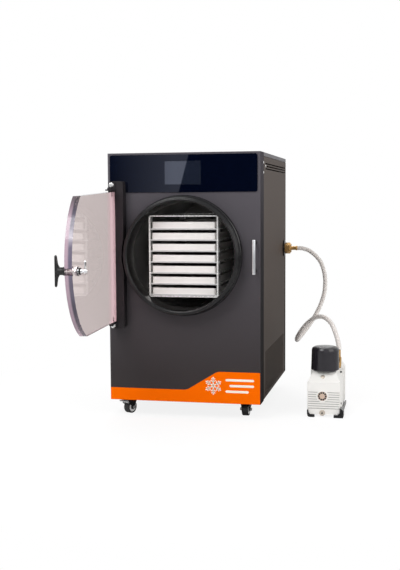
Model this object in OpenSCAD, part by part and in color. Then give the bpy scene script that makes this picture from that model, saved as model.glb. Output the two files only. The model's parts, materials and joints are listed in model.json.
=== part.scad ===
// Bench freeze dryer with its rotary-vane vacuum pump and suction hose.
// +X right, +Y back, +Z up, millimetres. The origin is on the floor, at the
// middle of the footprint with the door standing open.

/* [Cabinet] */
// Width of the sheet-metal cabinet
cab_w = 457; // [450:1:470]
// Height of the cabinet without its casters
cab_h = 735; // [730:1:760]
// Depth of the cabinet
cab_d = 575; // [570:1:600]
// Thickness of the outer sheet
sheet_t = 1.5; // [1.2:0.1:2]
// Depth of the folded front tray
fascia_depth = 62; // [60:1:66]
// Radius of the folded vertical corners
corner_r = 4; // [3:1:8]
// Height of the top cover's skirt
skirt_h = 11; // [8:1:14]

/* [Front] */
// Height of the glass control panel
glass_h = 109; // [100:1:112]
// Height of the orange accent at the left
accent_low = 37; // [30:1:45]
// Height of the orange accent at the right
accent_high = 94; // [80:1:110]
// Number of long louvres on each side
louvre_n = 3; // [2:1:4]

/* [Chamber] */
// Height of the chamber axis above the cabinet's underside
chamber_z = 435; // [432:1:438]
// Inner radius of the chamber
chamber_r = 160; // [160:0.5:162]
// Wall of the chamber
chamber_wall = 3; // [2:0.5:4]
// How far the door gasket stands out of the front
gasket_out = 46; // [44:1:46]

/* [Rack and trays] */
// Number of trays
tray_n = 7; // [7:1:7]
// Width of a tray
tray_w = 190; // [180:1:192]
// Length of a tray
tray_l = 454; // [430:1:454]
// Height of a tray
tray_h = 19; // [16:0.5:20]
// Height from one tray to the next
tray_pitch = 32.3; // [31:0.1:32.3]

/* [Door] */
// Thickness of the acrylic door
door_t = 20; // [15:1:22]
// Radius of the door's round end
door_r = 213; // [208:1:214]
// Angle that the door stands open
door_open = 86.5; // [80:0.5:95]

/* [Casters] */
// Height of a caster from floor to plate
caster_h = 48; // [47:1:50]
// Diameter of a caster wheel
wheel_d = 38.5; // [34:0.5:38.5]

/* [Pump] */
// Width of the pump body
pump_w = 98; // [94:1:104]
// Height of the pump's oil case above its feet
pump_case_h = 124; // [118:1:130]
// Overall length of the pump
pump_len = 226; // [220:1:240]
// Diameter of the oil-mist filter
filter_d = 84; // [70:1:86]

/* [Hose] */
// Outer diameter of the suction hose
hose_d = 15; // [13:1:16]

/* [Hidden] */

$fn = 48;
eps = 0.01;
gap = 0.3;
turn_fit = 0.05;

half_w = cab_w / 2;
inner_w = cab_w - 2 * sheet_t;
panel_y0 = fascia_depth + 1.5;
rear_fold = 14;
panel_y1 = cab_d - rear_fold - 0.5;
panel_z0 = 3;
panel_z1 = cab_h - skirt_h - 1;
rear_proud = 3;

// Control panel, measured from the cabinet's centre plane and underside.
glass_w = 440;
glass_t = 3;
glass_z1 = cab_h - 6;
glass_z0 = glass_z1 - glass_h;
screen_w = 107;
screen_h = 67;
screen_z = glass_z1 - 53;

// Chamber and its gasket.
chamber_out_r = chamber_r + chamber_wall;
rim_out = gasket_out - 8;
chamber_back = 472;
coil_tube_r = 4;
drain_y = 57;
drain_r = 7;
coil_r = chamber_out_r + coil_tube_r + 1.5;
insulation_r0 = coil_r + coil_tube_r + 0.3;
insulation_r1 = insulation_r0 + 18;
gasket_r = chamber_r + 17;

// Rack inside the chamber.
rack_w = 208;
rack_h = 240;
rack_y0 = 1;
rack_l = 462;
rack_bar = 4.5;
rack_corner = 6;
rack_drop = 2.5;
rack_z0 = chamber_z - rack_drop - rack_h / 2;
shelf_t = 4;
first_shelf = 8;
rail_h = 3.7;
strip_t = 3;
strip_d = 32;
tray_wall = 1;

// Door hinge axis and the latch, all with the door shut.
hinge_x = -205;
hinge_y = -gasket_out - 1 - door_t / 2;
door_in_y = -gasket_out - 1;
door_out_y = door_in_y - door_t;
door_edge_x = hinge_x - 23;
door_top_z = 622;
door_bottom_z = 242;
door_round_x = 12;
door_round_z = 437;
door_fall = 17;
pin_r = 4;
pin_bite = 14;
latch_x = 194;
latch_z = 420;
bushing_r = 9.5;
shaft_r = 6;
stub_r = 4;
grip_y = door_out_y - 33.5;
grip_w = 10;
grip_half = 40.5;

// Hinge mount, a folded channel on the front.
mount_x0 = -215.5;
mount_x1 = -173;
mount_z0 = 220;
mount_z1 = 653;
mount_out = 30;
mount_r = 8;

// Keeper bar that the latch tongue hooks behind.
keeper_x = 212.5;
keeper_z0 = 383;
keeper_z1 = 483;
keeper_y = -29;
keeper_r = 5.5;
tongue_y = keeper_y + keeper_r + 0.7;
tongue_t = 2.5;

// Casters.
caster_in = 55;
wheel_r = wheel_d / 2;
wheel_w = 20;
trail = 14;
plate_t = 2.2;
race_h = 4;
crown_t = 1.8;
fork_gap = 22;
cheek_t = 2.5;
axle_r = 3;
axle_z = wheel_r - caster_h;
pedal_z = -13;
pedal_u = 31;
pedal_pin_r = 1.5;
caster_angle = [-114, 88, -100, -80];
caster_side = [[-1, 0], [1, 0], [-1, 1], [1, 1]];

// Vacuum port on the right side.
port_y = 519;
port_z = 433;
port_r = 12;
port_x_in = 90;
hose_x = 276;

// Mains inlet on the rear sheet, and the rockers.
socket_x = 150;
socket_z = 70;
rocker_tilt = 8;
rocker_pin_r = 1.5;
rocker_reach = 11;

// Refrigerant lines: the discharge runs from the compressor to the condenser,
// the suction from the chamber's coil back to the compressor.
line_r = 4;
discharge_route = [[75, 300, 183], [74, 300, 194], [66, 300, 204], [50, 300, 207], [0, 300, 207],
    [-70, 300, 207], [-130, 302, 208], [-158, 316, 209], [-174, 344, 209], [-178, 376, 209], [-177, 400, 208],
    [-176, 414, 202], [-175, 414, 192], [-175, 399, 188]];
suction_route = [[150, 325, 180], [151, 327, 194], [155, 336, 208], [162, 356, 216], [170, 384, 226],
    [172, 402, 240], [171, 408, 260]];

// Pump, measured from the floor under the middle of its front face.
pump_x = 404;
pump_y = 87;
foot_h = 8;
pump_top = foot_h + pump_case_h;
motor_top = pump_top + 11;
case_len = 104;
shoulder_w = 16;
shoulder_h = 28;
slope_h = 28;
rib_n = 8;
rib_pitch = 6.9;
rib_cut = 2.4;
first_rib = 74;
filter_y = 48;
filter_h = 74;
sight_z = 63;
inlet_x = 37;
inlet_y = 108;
inlet_top = 188;
foot_out = 59;

// World place of the cabinet: the footprint runs from the open handle to the
// pump's right foot, and from the open door's tip to the rear fittings.
foot_x0 = hinge_x + (latch_x - grip_w / 2 - hinge_x) * cos(door_open) + (grip_y - hinge_y) * sin(door_open);
foot_x1 = pump_x + foot_out;
foot_y0 = hinge_y - (door_round_x + door_r - hinge_x) * sin(door_open) - door_t / 2 * cos(door_open);
foot_y1 = cab_d + rear_proud;
cab_x = -(foot_x0 + foot_x1) / 2;
cab_y = -(foot_y0 + foot_y1) / 2;

// Route of the suction hose, in the cabinet's frame.
hose_route = [[276, 519, 433], [292, 519, 432], [312, 518, 426], [333, 515, 412], [351, 511, 393],
    [363, 506, 369], [370, 500, 341], [372, 493, 311], [369, 486, 281], [360, 477, 250], [347, 465, 220],
    [330, 449, 190], [311, 427, 163], [297, 393, 145], [294, 354, 143], [300, 319, 159], [318, 296, 187],
    [340, 284, 212], [366, 265, 230], [393, 242, 231], [415, 220, 215], [428, 205, 191], [437, 198, 164],
    [441, 195, 139]];

function lerp(a, b, t) = a + (b - a) * t;
function unit(v) = v / norm(v);
// Point on a Catmull-Rom curve between b and c.
function spline_pt(a, b, c, d, t) =
    0.5 * (2 * b + (c - a) * t + (2 * a - 5 * b + 4 * c - d) * t * t + (3 * b - 3 * c + d - a) * t * t * t);
function route_pt(p, i) = p[min(max(i, 0), len(p) - 1)];
function smooth_route(p, steps) = [
    for (i = [0:len(p) - 2])
        for (s = [0:steps - 1])
            spline_pt(route_pt(p, i - 1), p[i], p[i + 1], route_pt(p, i + 2), s / steps),
    p[len(p) - 1]];
function tangent(p, i) = unit(route_pt(p, i + 1) - route_pt(p, i - 1));
// Side vector u made square to the route at point i.
function squared(p, i, u) = unit(u - (u * tangent(p, i)) * tangent(p, i));
// Side vectors along the whole route, each carried on from the one before so that the tube doesn't twist.
function side_vectors(p, u, i = 0) =
    i == len(p) ? [] : let (v = squared(p, i, u)) concat([v], side_vectors(p, v, i + 1));
// Ring of points around p[i] with side vector u.
function ring(p, i, u, r, sides) =
    let (v = cross(tangent(p, i), u))
    [for (k = [0:sides - 1]) p[i] + r * (u * cos(360 * k / sides) + v * sin(360 * k / sides))];

// Closed tube swept along a list of points, with a first side vector across its start.
module swept_tube(p, r, sides, side) {
    n = len(p);
    u = side_vectors(p, side);
    points = [for (i = [0:n - 1]) each ring(p, i, u[i], r, sides)];
    walls = [
        for (i = [0:n - 2])
            for (k = [0:sides - 1])
                let (a = i * sides + k, b = i * sides + (k + 1) % sides)
                [a, a + sides, b + sides, b]];
    first = [[for (k = [0:sides - 1]) k]];
    last = [[for (k = [sides - 1:-1:0]) (n - 1) * sides + k]];
    polyhedron(points, concat(walls, first, last), convexity = 10);
}

// Rectangle from (x0, y0) to (x1, y1).
module rect(x0, y0, x1, y1) {
    translate([x0, y0]) square([x1 - x0, y1 - y0]);
}

// Rectangle centred on the origin with round corners.
module round_rect(w, h, r) {
    square([w - 2 * r, h], center = true);
    square([w, h - 2 * r], center = true);
    for (sx = [-1, 1], sy = [-1, 1]) {
        translate([sx * (w / 2 - r), sy * (h / 2 - r)]) circle(r);
    }
}

// Straight slot with round ends, along X.
module obround(length, width) {
    square([length - width, width], center = true);
    for (s = [-1, 1]) {
        translate([s * (length - width) / 2, 0]) circle(width / 2);
    }
}

// Block from one corner to the opposite one.
module block(a, b) {
    translate(a) cube(b - a);
}

// Drawing in X and Z, given a thickness along Y from y0 to y1.
module wall_y(y0, y1) {
    translate([0, y1, 0]) rotate([90, 0, 0]) linear_extrude(y1 - y0) children();
}

// Drawing in Y and Z, given a thickness along X from x0 to x1.
module wall_x(x0, x1) {
    translate([x0, 0, 0]) rotate([90, 0, 90]) linear_extrude(x1 - x0) children();
}

// Cylinder along Y from y0 to y1.
module rod_y(r, y0, y1) {
    translate([0, y1, 0]) rotate([90, 0, 0]) cylinder(h = y1 - y0, r = r);
}

// Cylinder along X from x0 to x1.
module rod_x(r, x0, x1) {
    translate([x0, 0, 0]) rotate([0, 90, 0]) cylinder(h = x1 - x0, r = r);
}

// Low domed screw head with a hex socket, standing up along +Z from the origin.
module screw_head(r, h) {
    difference() {
        rotate_extrude() polygon([[0, 0], [r, 0], [r, h * 0.35], [r * 0.82, h * 0.8], [r * 0.5, h], [0, h]]);
        translate([0, 0, h * 0.45]) cylinder(h = h, r = r * 0.42, $fn = 6);
    }
}

module in_cabinet() {
    translate([cab_x, cab_y, caster_h]) children();
}

// What is drawn with the door shut is turned to the angle at which it stands open.
module on_door() {
    in_cabinet() translate([hinge_x, hinge_y, 0]) rotate([0, 0, -door_open])
        translate([-hinge_x, -hinge_y, 0]) children();
}

// Frame of the chamber: local Z runs back along the chamber axis.
module on_chamber() {
    in_cabinet() translate([0, 0, chamber_z]) rotate([-90, 0, 0]) children();
}

module in_pump() {
    translate([cab_x + pump_x, cab_y + pump_y, 0]) children();
}

// ---------------------------------------------------------------- cabinet

module base_pan() {
    rim = 25;
    wall = 2;
    x1 = half_w - sheet_t - gap;
    y0 = corner_r + 3;
    y1 = cab_d - corner_r - 5;
    color("dimgray") in_cabinet() difference() {
        block([-x1, y0, 0], [x1, y1, rim]);
        block([-x1 + wall, y0 + wall, wall], [x1 - wall, y1 - wall, rim + 1]);
        translate([0, drain_y, -1]) cylinder(h = 4, r = drain_r + 1);
        for (x = [-120:24:120]) {
            translate([x, 300, -1]) linear_extrude(4) rotate(90) obround(120, 8);
        }
    }
}

// Square tube standing at a corner of the frame.
module frame_post(x, y) {
    tube = 18;
    difference() {
        block([x - tube / 2, y - tube / 2, 2], [x + tube / 2, y + tube / 2, cab_h - 4]);
        block([x - tube / 2 + 2, y - tube / 2 + 2, 1], [x + tube / 2 - 2, y + tube / 2 - 2, cab_h - 3]);
    }
}

// Saddle plate that carries the insulated chamber.
module saddle(y) {
    wall_y(y - 4, y + 4) difference() {
        rect(-150, 228, 150, 300);
        translate([0, chamber_z]) circle(insulation_r1 + 0.2, $fn = 96);
    }
}

module chassis_frame() {
    post_x = half_w - sheet_t - gap - 2.2 - 9;
    front_y = 76;
    rear_y = 549;
    rail_z = 218;
    color("gray") in_cabinet() {
        for (sx = [-1, 1]) {
            frame_post(sx * post_x, front_y);
            frame_post(sx * post_x, rear_y);
            block([sx * post_x - 9, front_y + 9, cab_h - 22], [sx * post_x + 9, rear_y - 9, cab_h - 4]);
            block([sx * post_x - 9, front_y + 9, rail_z - 8], [sx * post_x + 9, rear_y - 9, rail_z + 10]);
        }
        for (y = [front_y, 420, rear_y]) {
            block([-post_x + 9, y - 9, rail_z - 8], [post_x - 9, y + 9, rail_z + 10]);
        }
        for (y = [front_y, rear_y]) {
            block([-post_x + 9, y - 9, cab_h - 22], [post_x - 9, y + 9, cab_h - 4]);
        }
        for (y = [front_y, 420]) {
            saddle(y);
        }
    }
}

// Outline of the folded front tray, seen from above, grown inwards by t.
module fascia_outline(t, y1) {
    for (s = [-1, 1]) {
        translate([s * (half_w - corner_r), corner_r]) circle(corner_r - t);
    }
    rect(-half_w + corner_r, t, half_w - corner_r, y1);
    rect(-half_w + t, corner_r, half_w - t, y1);
}

module front_fascia() {
    color("#3f3d42") in_cabinet() difference() {
        linear_extrude(cab_h) fascia_outline(0, fascia_depth);
        translate([0, 0, -1]) linear_extrude(cab_h - sheet_t + 1) fascia_outline(sheet_t, fascia_depth + 1);
        wall_y(-1, 3) translate([0, chamber_z]) circle(chamber_out_r + 1, $fn = 96);
        wall_y(-1, 3) translate([0, screen_z]) square([screen_w - 8, screen_h - 8], center = true);
    }
}

// Its top edge is low at the left, slopes up with soft bends and is high at the right.
module accent_panel() {
    slope = atan2(accent_high - accent_low, 108);
    bend_r = 34;
    edge = half_w - 1.5;
    low = [for (k = [0:6]) let (a = slope * k / 6)
        [-2 + bend_r * sin(a), accent_low + bend_r * (1 - cos(a))]];
    high = [for (k = [6:-1:0]) let (a = slope * k / 6)
        [110 - bend_r * sin(a), accent_high - bend_r * (1 - cos(a))]];
    color("#ff6a00") in_cabinet() wall_y(-1, 0)
        polygon(concat([[-edge, 0.5], [-edge, accent_low]], low, high, [[edge, accent_high], [edge, 0.5]]));
}

// Side sheet drawn in Y and Z, with its louvres and its field of vent holes.
module side_sheet(port) {
    vent_y0 = 94;
    vent_z0 = 18;
    pitch_y = 15;
    pitch_z = 13;
    louvre_z = panel_z1 - 20;
    difference() {
        rect(panel_y0, panel_z0, panel_y1, panel_z1);
        for (i = [0:louvre_n - 1]) {
            start = i == 1 ? 116 : 97;
            translate([(start + 550) / 2, louvre_z - 7.6 * i]) obround(550 - start, 3.6);
        }
        for (row = [0:9], col = [0:27]) {
            shift = row % 2 == 0 ? 0 : pitch_y / 2;
            translate([vent_y0 + col * pitch_y + shift, vent_z0 + row * pitch_z]) circle(4.6, $fn = 6);
        }
        if (port) {
            translate([port_y, port_z]) circle(22.5);
        }
    }
}

module side_panel_left() {
    color("#57524e") in_cabinet() wall_x(-half_w, -half_w + sheet_t) side_sheet(false);
}

module side_panel_right() {
    color("#57524e") in_cabinet() wall_x(half_w - sheet_t, half_w) side_sheet(true);
}

// Outline with round rear corners, seen from above, grown inwards by t.
module rear_outline(t, y0) {
    r = corner_r + 2 - t;
    for (s = [-1, 1]) {
        translate([s * (half_w - t - r), cab_d - t - r]) circle(r);
    }
    rect(-half_w + t + r, y0, half_w - t - r, cab_d - t);
    rect(-half_w + t, y0, half_w - t, cab_d - t - r);
}

module top_cover() {
    color("#3f3d42") in_cabinet() translate([0, 0, cab_h - skirt_h]) difference() {
        linear_extrude(skirt_h) rear_outline(0, panel_y0);
        translate([0, 0, -1]) linear_extrude(skirt_h - sheet_t + 1) rear_outline(sheet_t, panel_y0 - 1);
    }
}

// Round guard of slots for the condenser's outlet.
module guard_slots(n, length) {
    for (i = [0:n - 1]) {
        translate([0, (i - (n - 1) / 2) * 12]) obround(length, 5);
    }
}

module rear_panel() {
    color("#4a4745") in_cabinet() difference() {
        translate([0, 0, panel_z0]) difference() {
            linear_extrude(panel_z1 - panel_z0) rear_outline(0, cab_d - rear_fold);
            translate([0, 0, -1]) linear_extrude(panel_z1) rear_outline(sheet_t, cab_d - rear_fold - 1);
        }
        wall_y(cab_d - 4, cab_d + 1) {
            translate([-90, 130]) guard_slots(13, 190);
            translate([0, 600]) guard_slots(5, 260);
            translate([socket_x, socket_z]) square([61, 27], center = true);
        }
    }
}

module control_glass() {
    color("#0a0d1c") in_cabinet() wall_y(-glass_t, 0) difference() {
        translate([0, (glass_z0 + glass_z1) / 2]) round_rect(glass_w, glass_h, 6);
        translate([0, screen_z]) square([screen_w + 0.4, screen_h + 0.4], center = true);
    }
}

module touch_screen() {
    color("#232c40") in_cabinet() {
        wall_y(-glass_t + 0.2, -0.2) translate([0, screen_z]) square([screen_w, screen_h], center = true);
        wall_y(-0.2, 9) translate([0, screen_z]) square([screen_w - 9, screen_h - 9], center = true);
    }
}

// Screws of the sides, standing out of the sheet.
module side_screws() {
    for (p = [[57, 705], [57, 676], [97, 696]]) {
        translate([half_w, p[0], p[1]]) rotate([0, 90, 0]) screw_head(4, 1.6);
    }
}

module cabinet_screws() {
    color("silver") in_cabinet() {
        side_screws();
        mirror([1, 0, 0]) side_screws();
        for (z = [mount_z0 + 7.6, mount_z1 - 11]) {
            translate([hinge_x - 2, -mount_out - 3, z]) rotate([90, 0, 0]) screw_head(7.2, 4);
        }
        for (x = [-190, 190], z = [20, 690]) {
            translate([x, cab_d, z]) rotate([-90, 0, 0]) screw_head(4, 2);
        }
    }
}

// Channel that carries the hinge, cut round to clear the gasket and stepped over the control glass.
module hinge_mount() {
    wall = 2;
    x_mid = (mount_x0 + mount_x1) / 2;
    z_mid = (mount_z0 + mount_z1) / 2;
    w = mount_x1 - mount_x0;
    h = mount_z1 - mount_z0;
    color("#3a393d") in_cabinet() difference() {
        wall_y(-mount_out, 0) difference() {
            translate([x_mid, z_mid]) round_rect(w, h, mount_r);
            translate([0, chamber_z]) circle(gasket_r + 2.5, $fn = 96);
        }
        wall_y(-mount_out + wall, 1) difference() {
            translate([x_mid, z_mid]) round_rect(w - 2 * wall, h - 2 * wall, mount_r - wall);
            translate([0, chamber_z]) circle(gasket_r + 2.5 + wall, $fn = 96);
        }
        block([mount_x0 - 1, -glass_t - gap, glass_z0 - gap], [mount_x1 + 1, 1, mount_z1 + 1]);
    }
}

// Chrome bar with round ends on two legs.
module latch_keeper() {
    leg_in = 9;
    length = keeper_z1 - keeper_z0;
    color("silver") in_cabinet() translate([keeper_x, 0, 0]) {
        translate([0, keeper_y, keeper_z0]) rotate_extrude() {
            rect(0, 0, keeper_r - 2, length);
            rect(0, 2, keeper_r, length - 2);
            for (z = [2, length - 2]) {
                translate([keeper_r - 2, z]) circle(2);
            }
        }
        for (z = [keeper_z0 + leg_in, keeper_z1 - leg_in]) {
            translate([0, 0, z]) rod_y(3.5, keeper_y, 0);
            translate([0, 0, z]) rod_y(6.5, -2, 0);
        }
    }
}

// ---------------------------------------------------------------- chamber

module chamber_vessel() {
    bend = 18;
    color("gainsboro") {
        on_chamber() difference() {
            rotate_extrude($fn = 96) {
                rect(chamber_r, -rim_out, chamber_out_r, chamber_back + 4);
                rect(0, chamber_back, chamber_r + 1, chamber_back + 4);
                rect(chamber_r, 3, chamber_out_r + 8, 5);
            }
            translate([port_x_in, chamber_z - port_z, chamber_back - 1]) cylinder(h = 6, r = port_r - 2);
            translate([0, chamber_r - 2, drain_y]) rotate([-90, 0, 0]) cylinder(h = 8, r = drain_r - 2);
        }
        // Drain stub through the base.
        in_cabinet() translate([0, drain_y, -6]) difference() {
            cylinder(h = chamber_z - chamber_r - 2 + 6, r = drain_r);
            translate([0, 0, -1]) cylinder(h = chamber_z, r = drain_r - 2);
        }
        // Suction pipe from the back plate to the right side.
        in_cabinet() translate([port_x_in, 0, port_z]) {
            pipe_y1 = port_y - bend;
            difference() {
                rod_y(port_r, chamber_back + 4, pipe_y1);
                rod_y(port_r - 2, chamber_back, pipe_y1 + 1);
            }
            translate([bend, pipe_y1, 0]) mirror([1, 0, 0]) rotate_extrude(angle = 90) translate([bend, 0])
                difference() {
                    circle(port_r);
                    circle(port_r - 2);
                }
            translate([0, port_y, 0]) difference() {
                rod_x(port_r, bend, half_w - 4 - port_x_in);
                rod_x(port_r - 2, bend - 1, half_w - port_x_in);
            }
        }
    }
}

module chamber_insulation() {
    color("darkslategray") on_chamber() difference() {
        rotate_extrude($fn = 96) {
            rect(insulation_r0, 8, insulation_r1, chamber_back + 20);
            rect(0, chamber_back + 5, insulation_r0 + 1, chamber_back + 20);
        }
        translate([port_x_in, chamber_z - port_z, chamber_back]) cylinder(h = 30, r = port_r + 0.5);
        translate([0, chamber_r - 2, drain_y]) rotate([-90, 0, 0]) cylinder(h = 60, r = drain_r + 1);
    }
}

// Refrigerant tube wound round the chamber.
module evaporator_coil() {
    turns = 9;
    per_turn = 26;
    y0 = 92;
    y1 = 450;
    count = turns * per_turn;
    path = [for (i = [0:count]) [coil_r * cos(360 * i / per_turn), coil_r * sin(360 * i / per_turn),
        lerp(y0, y1, i / count)]];
    color("peru") on_chamber() swept_tube(path, coil_tube_r, 6, [1, 0, 0]);
}

// Rubber gasket that slips over the rim of the chamber.
module door_gasket() {
    color("#1c1c1e") on_chamber() mirror([0, 0, 1]) rotate_extrude($fn = 96) difference() {
        union() {
            rect(chamber_r - 0.2, 2, gasket_r - 8.5, gasket_out - 6);
            rect(chamber_out_r, 0, gasket_r - 8.5, 10);
            translate([gasket_r - 8.5, 8.5]) circle(8.5);
            translate([gasket_r - 12.5, gasket_out - 17]) circle(9.5);
            translate([chamber_r + 3.8, gasket_out - 4]) circle(4);
            rect(chamber_r + 3.8, gasket_out - 12, gasket_r - 6, gasket_out - 4);
            translate([chamber_r + 7, gasket_out - 6]) circle(4.6);
        }
        rect(chamber_r - 1, -1, chamber_out_r + 0.3, rim_out + 0.2);
        rect(0, -10, chamber_r - 0.2, 80);
    }
}

// ---------------------------------------------------------------- rack and trays

function shelf_top(i) = rack_z0 + first_shelf + (tray_n - i) * tray_pitch;

// Front or rear hoop of the rack.
module rack_hoop(y) {
    wall_y(y, y + rack_bar) translate([0, rack_z0 + rack_h / 2]) difference() {
        round_rect(rack_w, rack_h, rack_corner);
        square([rack_w - 2 * rack_bar, rack_h - 2 * rail_h], center = true);
    }
}

// Two hoops joined by rails, with a flat strip and a row of screw heads down each side of the front.
module rack_frame() {
    y0 = rack_y0 + rack_bar - eps;
    y1 = rack_y0 + rack_l - rack_bar + eps;
    rail_x = rack_w / 2 - rack_bar / 2;
    color("silver") in_cabinet() {
        rack_hoop(rack_y0);
        rack_hoop(rack_y0 + rack_l - rack_bar);
        for (s = [-1, 1]) {
            for (i = [1:tray_n]) {
                block([s * rail_x - rack_bar / 2, y0, shelf_top(i) - shelf_t],
                    [s * rail_x + rack_bar / 2, y1, shelf_top(i)]);
            }
            for (z = [rack_z0, rack_z0 + rack_h - rail_h]) {
                block([s * (rail_x - 4) - 2.2, y0, z], [s * (rail_x - 4) + 2.2, y1, z + rail_h]);
            }
            translate([s * (rack_w / 2 - strip_t / 2), 0, 0])
                block([-strip_t / 2, rack_y0, rack_z0 + rack_corner],
                    [strip_t / 2, rack_y0 + strip_d, rack_z0 + rack_h - rack_corner]);
        }
        for (i = [1:tray_n], x = [-rack_w / 2 - 2.5, rack_w / 2 - 1]) {
            translate([0, rack_y0 + 8, shelf_top(i) - shelf_t / 2]) rod_x(2, x, x + 3.5);
        }
    }
}

module heated_shelves() {
    half = rack_w / 2 - rack_bar - gap;
    color("lightgray") in_cabinet() for (i = [1:tray_n]) {
        block([-half, rack_y0 + 1, shelf_top(i) - shelf_t],
            [half, rack_y0 + rack_l - rack_bar - 1, shelf_top(i) - 0.1]);
    }
}

// One open tray on shelf i, counted from the top.
module tray(i) {
    y_mid = rack_y0 + 2 + tray_l / 2;
    color("whitesmoke") in_cabinet() translate([0, y_mid, shelf_top(i)]) difference() {
        linear_extrude(tray_h) round_rect(tray_w, tray_l, 5);
        translate([0, 0, tray_wall]) linear_extrude(tray_h)
            round_rect(tray_w - 2 * tray_wall, tray_l - 2 * tray_wall, 4);
    }
}

// ---------------------------------------------------------------- door

// One hinge bracket: an upright tab, an arm over the door's edge and its pin.
// up is 1 at the top of the door and -1 at the bottom.
module hinge_bracket(up) {
    edge_z = up > 0 ? door_top_z : door_bottom_z;
    far_z = up > 0 ? mount_z1 - 2 : mount_z0 + 1;
    arm_z = edge_z + up * 3;
    pin_end = edge_z - up * pin_bite;
    pin_head = arm_z + up * 4;
    x0 = hinge_x - 10;
    x1 = hinge_x + 9;
    translate([0, 0, min(arm_z, pin_head)]) block([x0, hinge_y - 9, 0], [x1, -mount_out, 4]);
    block([x0, -mount_out - 3, min(arm_z, far_z)], [x1, -mount_out, max(arm_z, far_z)]);
    translate([hinge_x, hinge_y, min(pin_end, pin_head)]) cylinder(h = abs(pin_head - pin_end), r = pin_r);
    translate([hinge_x, hinge_y, min(pin_head, pin_head + up * 5)]) cylinder(h = 5, r = 6.5);
}

module hinge_brackets() {
    color("dimgray") in_cabinet() {
        hinge_bracket(1);
        hinge_bracket(-1);
    }
}

// Straight at the hinge, round at the latch, with a top edge that falls towards the latch.
module door_outline() {
    tip_x = door_round_x + door_r;
    intersection() {
        polygon([[door_edge_x, door_bottom_z], [tip_x, door_bottom_z - 1], [tip_x, door_top_z - door_fall],
            [door_edge_x, door_top_z]]);
        union() {
            rect(door_edge_x, door_bottom_z - 2, door_round_x, door_top_z + 1);
            translate([door_round_x, door_round_z]) circle(door_r, $fn = 128);
        }
    }
}

module door_panel() {
    color([0.85, 0.72, 0.74, 0.5]) on_door() difference() {
        wall_y(door_out_y, door_in_y) door_outline();
        translate([latch_x, 0, latch_z]) rod_y(bushing_r, door_out_y - 1, door_in_y + 1);
        for (z = [door_bottom_z - 1, door_top_z - pin_bite - 1]) {
            translate([hinge_x, hinge_y, z]) cylinder(h = pin_bite + 2, r = pin_r + turn_fit);
        }
    }
}

// Flanged bush through the door with its nut on the inside.
module door_bushing() {
    nut_r = 13;
    nut_t = 6;
    color("silver") on_door() translate([latch_x, 0, latch_z]) difference() {
        union() {
            rod_y(bushing_r, door_out_y - 1, door_in_y + 1);
            rod_y(13, door_out_y - 3, door_out_y);
            translate([0, door_in_y + nut_t, 0]) rotate([90, 0, 0]) cylinder(h = nut_t, r = nut_r, $fn = 6);
        }
        rod_y(shaft_r + turn_fit, door_out_y - 5, door_in_y + 10);
    }
}

// Side of the T-bar, in Y outwards from its flat face and Z along the bar.
module grip_profile() {
    polygon([[1.5, -grip_half], [3, -grip_half], [4, -grip_half + 2.5], [5.2, -29], [7, -17], [11, -10],
        [11, 10], [7, 17], [5.2, 29], [4, grip_half - 2.5], [3, grip_half], [1.5, grip_half],
        [0, grip_half - 2.5], [0, -grip_half + 2.5]]);
}

// Moulded T-grip with a waisted hub.
module handle_grip() {
    hub_h = door_out_y - 4 - grip_y;
    color("#161618") on_door() translate([latch_x, grip_y, latch_z]) difference() {
        union() {
            intersection() {
                wall_x(-8, 8) grip_profile();
                wall_y(-1, 13) rotate(90) obround(2 * grip_half, grip_w);
            }
            rotate([-90, 0, 0]) rotate_extrude()
                polygon([[0, 4], [9, 7], [10, 10], [10, 20], [12.5, hub_h - 3], [12.5, hub_h], [0, hub_h]]);
        }
        rod_y(stub_r, hub_h - 12, hub_h + 1);
    }
}

// Steel shaft with its washer, its cap and the tongue that hooks behind the keeper.
module latch_shaft() {
    cap_y = door_in_y + 18;
    color("silver") on_door() translate([latch_x, 0, latch_z]) {
        rod_y(stub_r, door_out_y - 16, door_out_y - 4);
        rod_y(shaft_r, door_out_y - 4, cap_y);
        rod_y(10.5, door_in_y + 8, door_in_y + 9.5);
        rod_y(7, cap_y - 4, cap_y);
        rod_y(4, cap_y, tongue_y);
        wall_y(tongue_y, tongue_y + tongue_t) {
            circle(8);
            rect(-5, 0, 5, 23);
            translate([0, 23]) circle(5);
        }
        rod_y(5, tongue_y + tongue_t, tongue_y + tongue_t + 3);
    }
}

// ---------------------------------------------------------------- refrigeration and electrics

module compressor() {
    shell_r = 72;
    shell_h = 170;
    color("#26262a") in_cabinet() translate([110, 300, 0]) {
        translate([0, 0, 22]) rotate_extrude() polygon([[0, 0], [shell_r - 18, 0], [shell_r - 4, 12],
            [shell_r, 30], [shell_r, shell_h - 45], [shell_r - 8, shell_h - 22], [shell_r - 30, shell_h - 5],
            [0, shell_h]]);
        block([-75, -60, 18], [75, 60, 22.5]);
        for (sx = [-1, 1], sy = [-1, 1]) {
            translate([sx * 62, sy * 48, 2]) cylinder(h = 16.5, r = 12);
        }
        block([-shell_r - 18, -25, 80], [-shell_r + 6, 25, 140]);
    }
}

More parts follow.
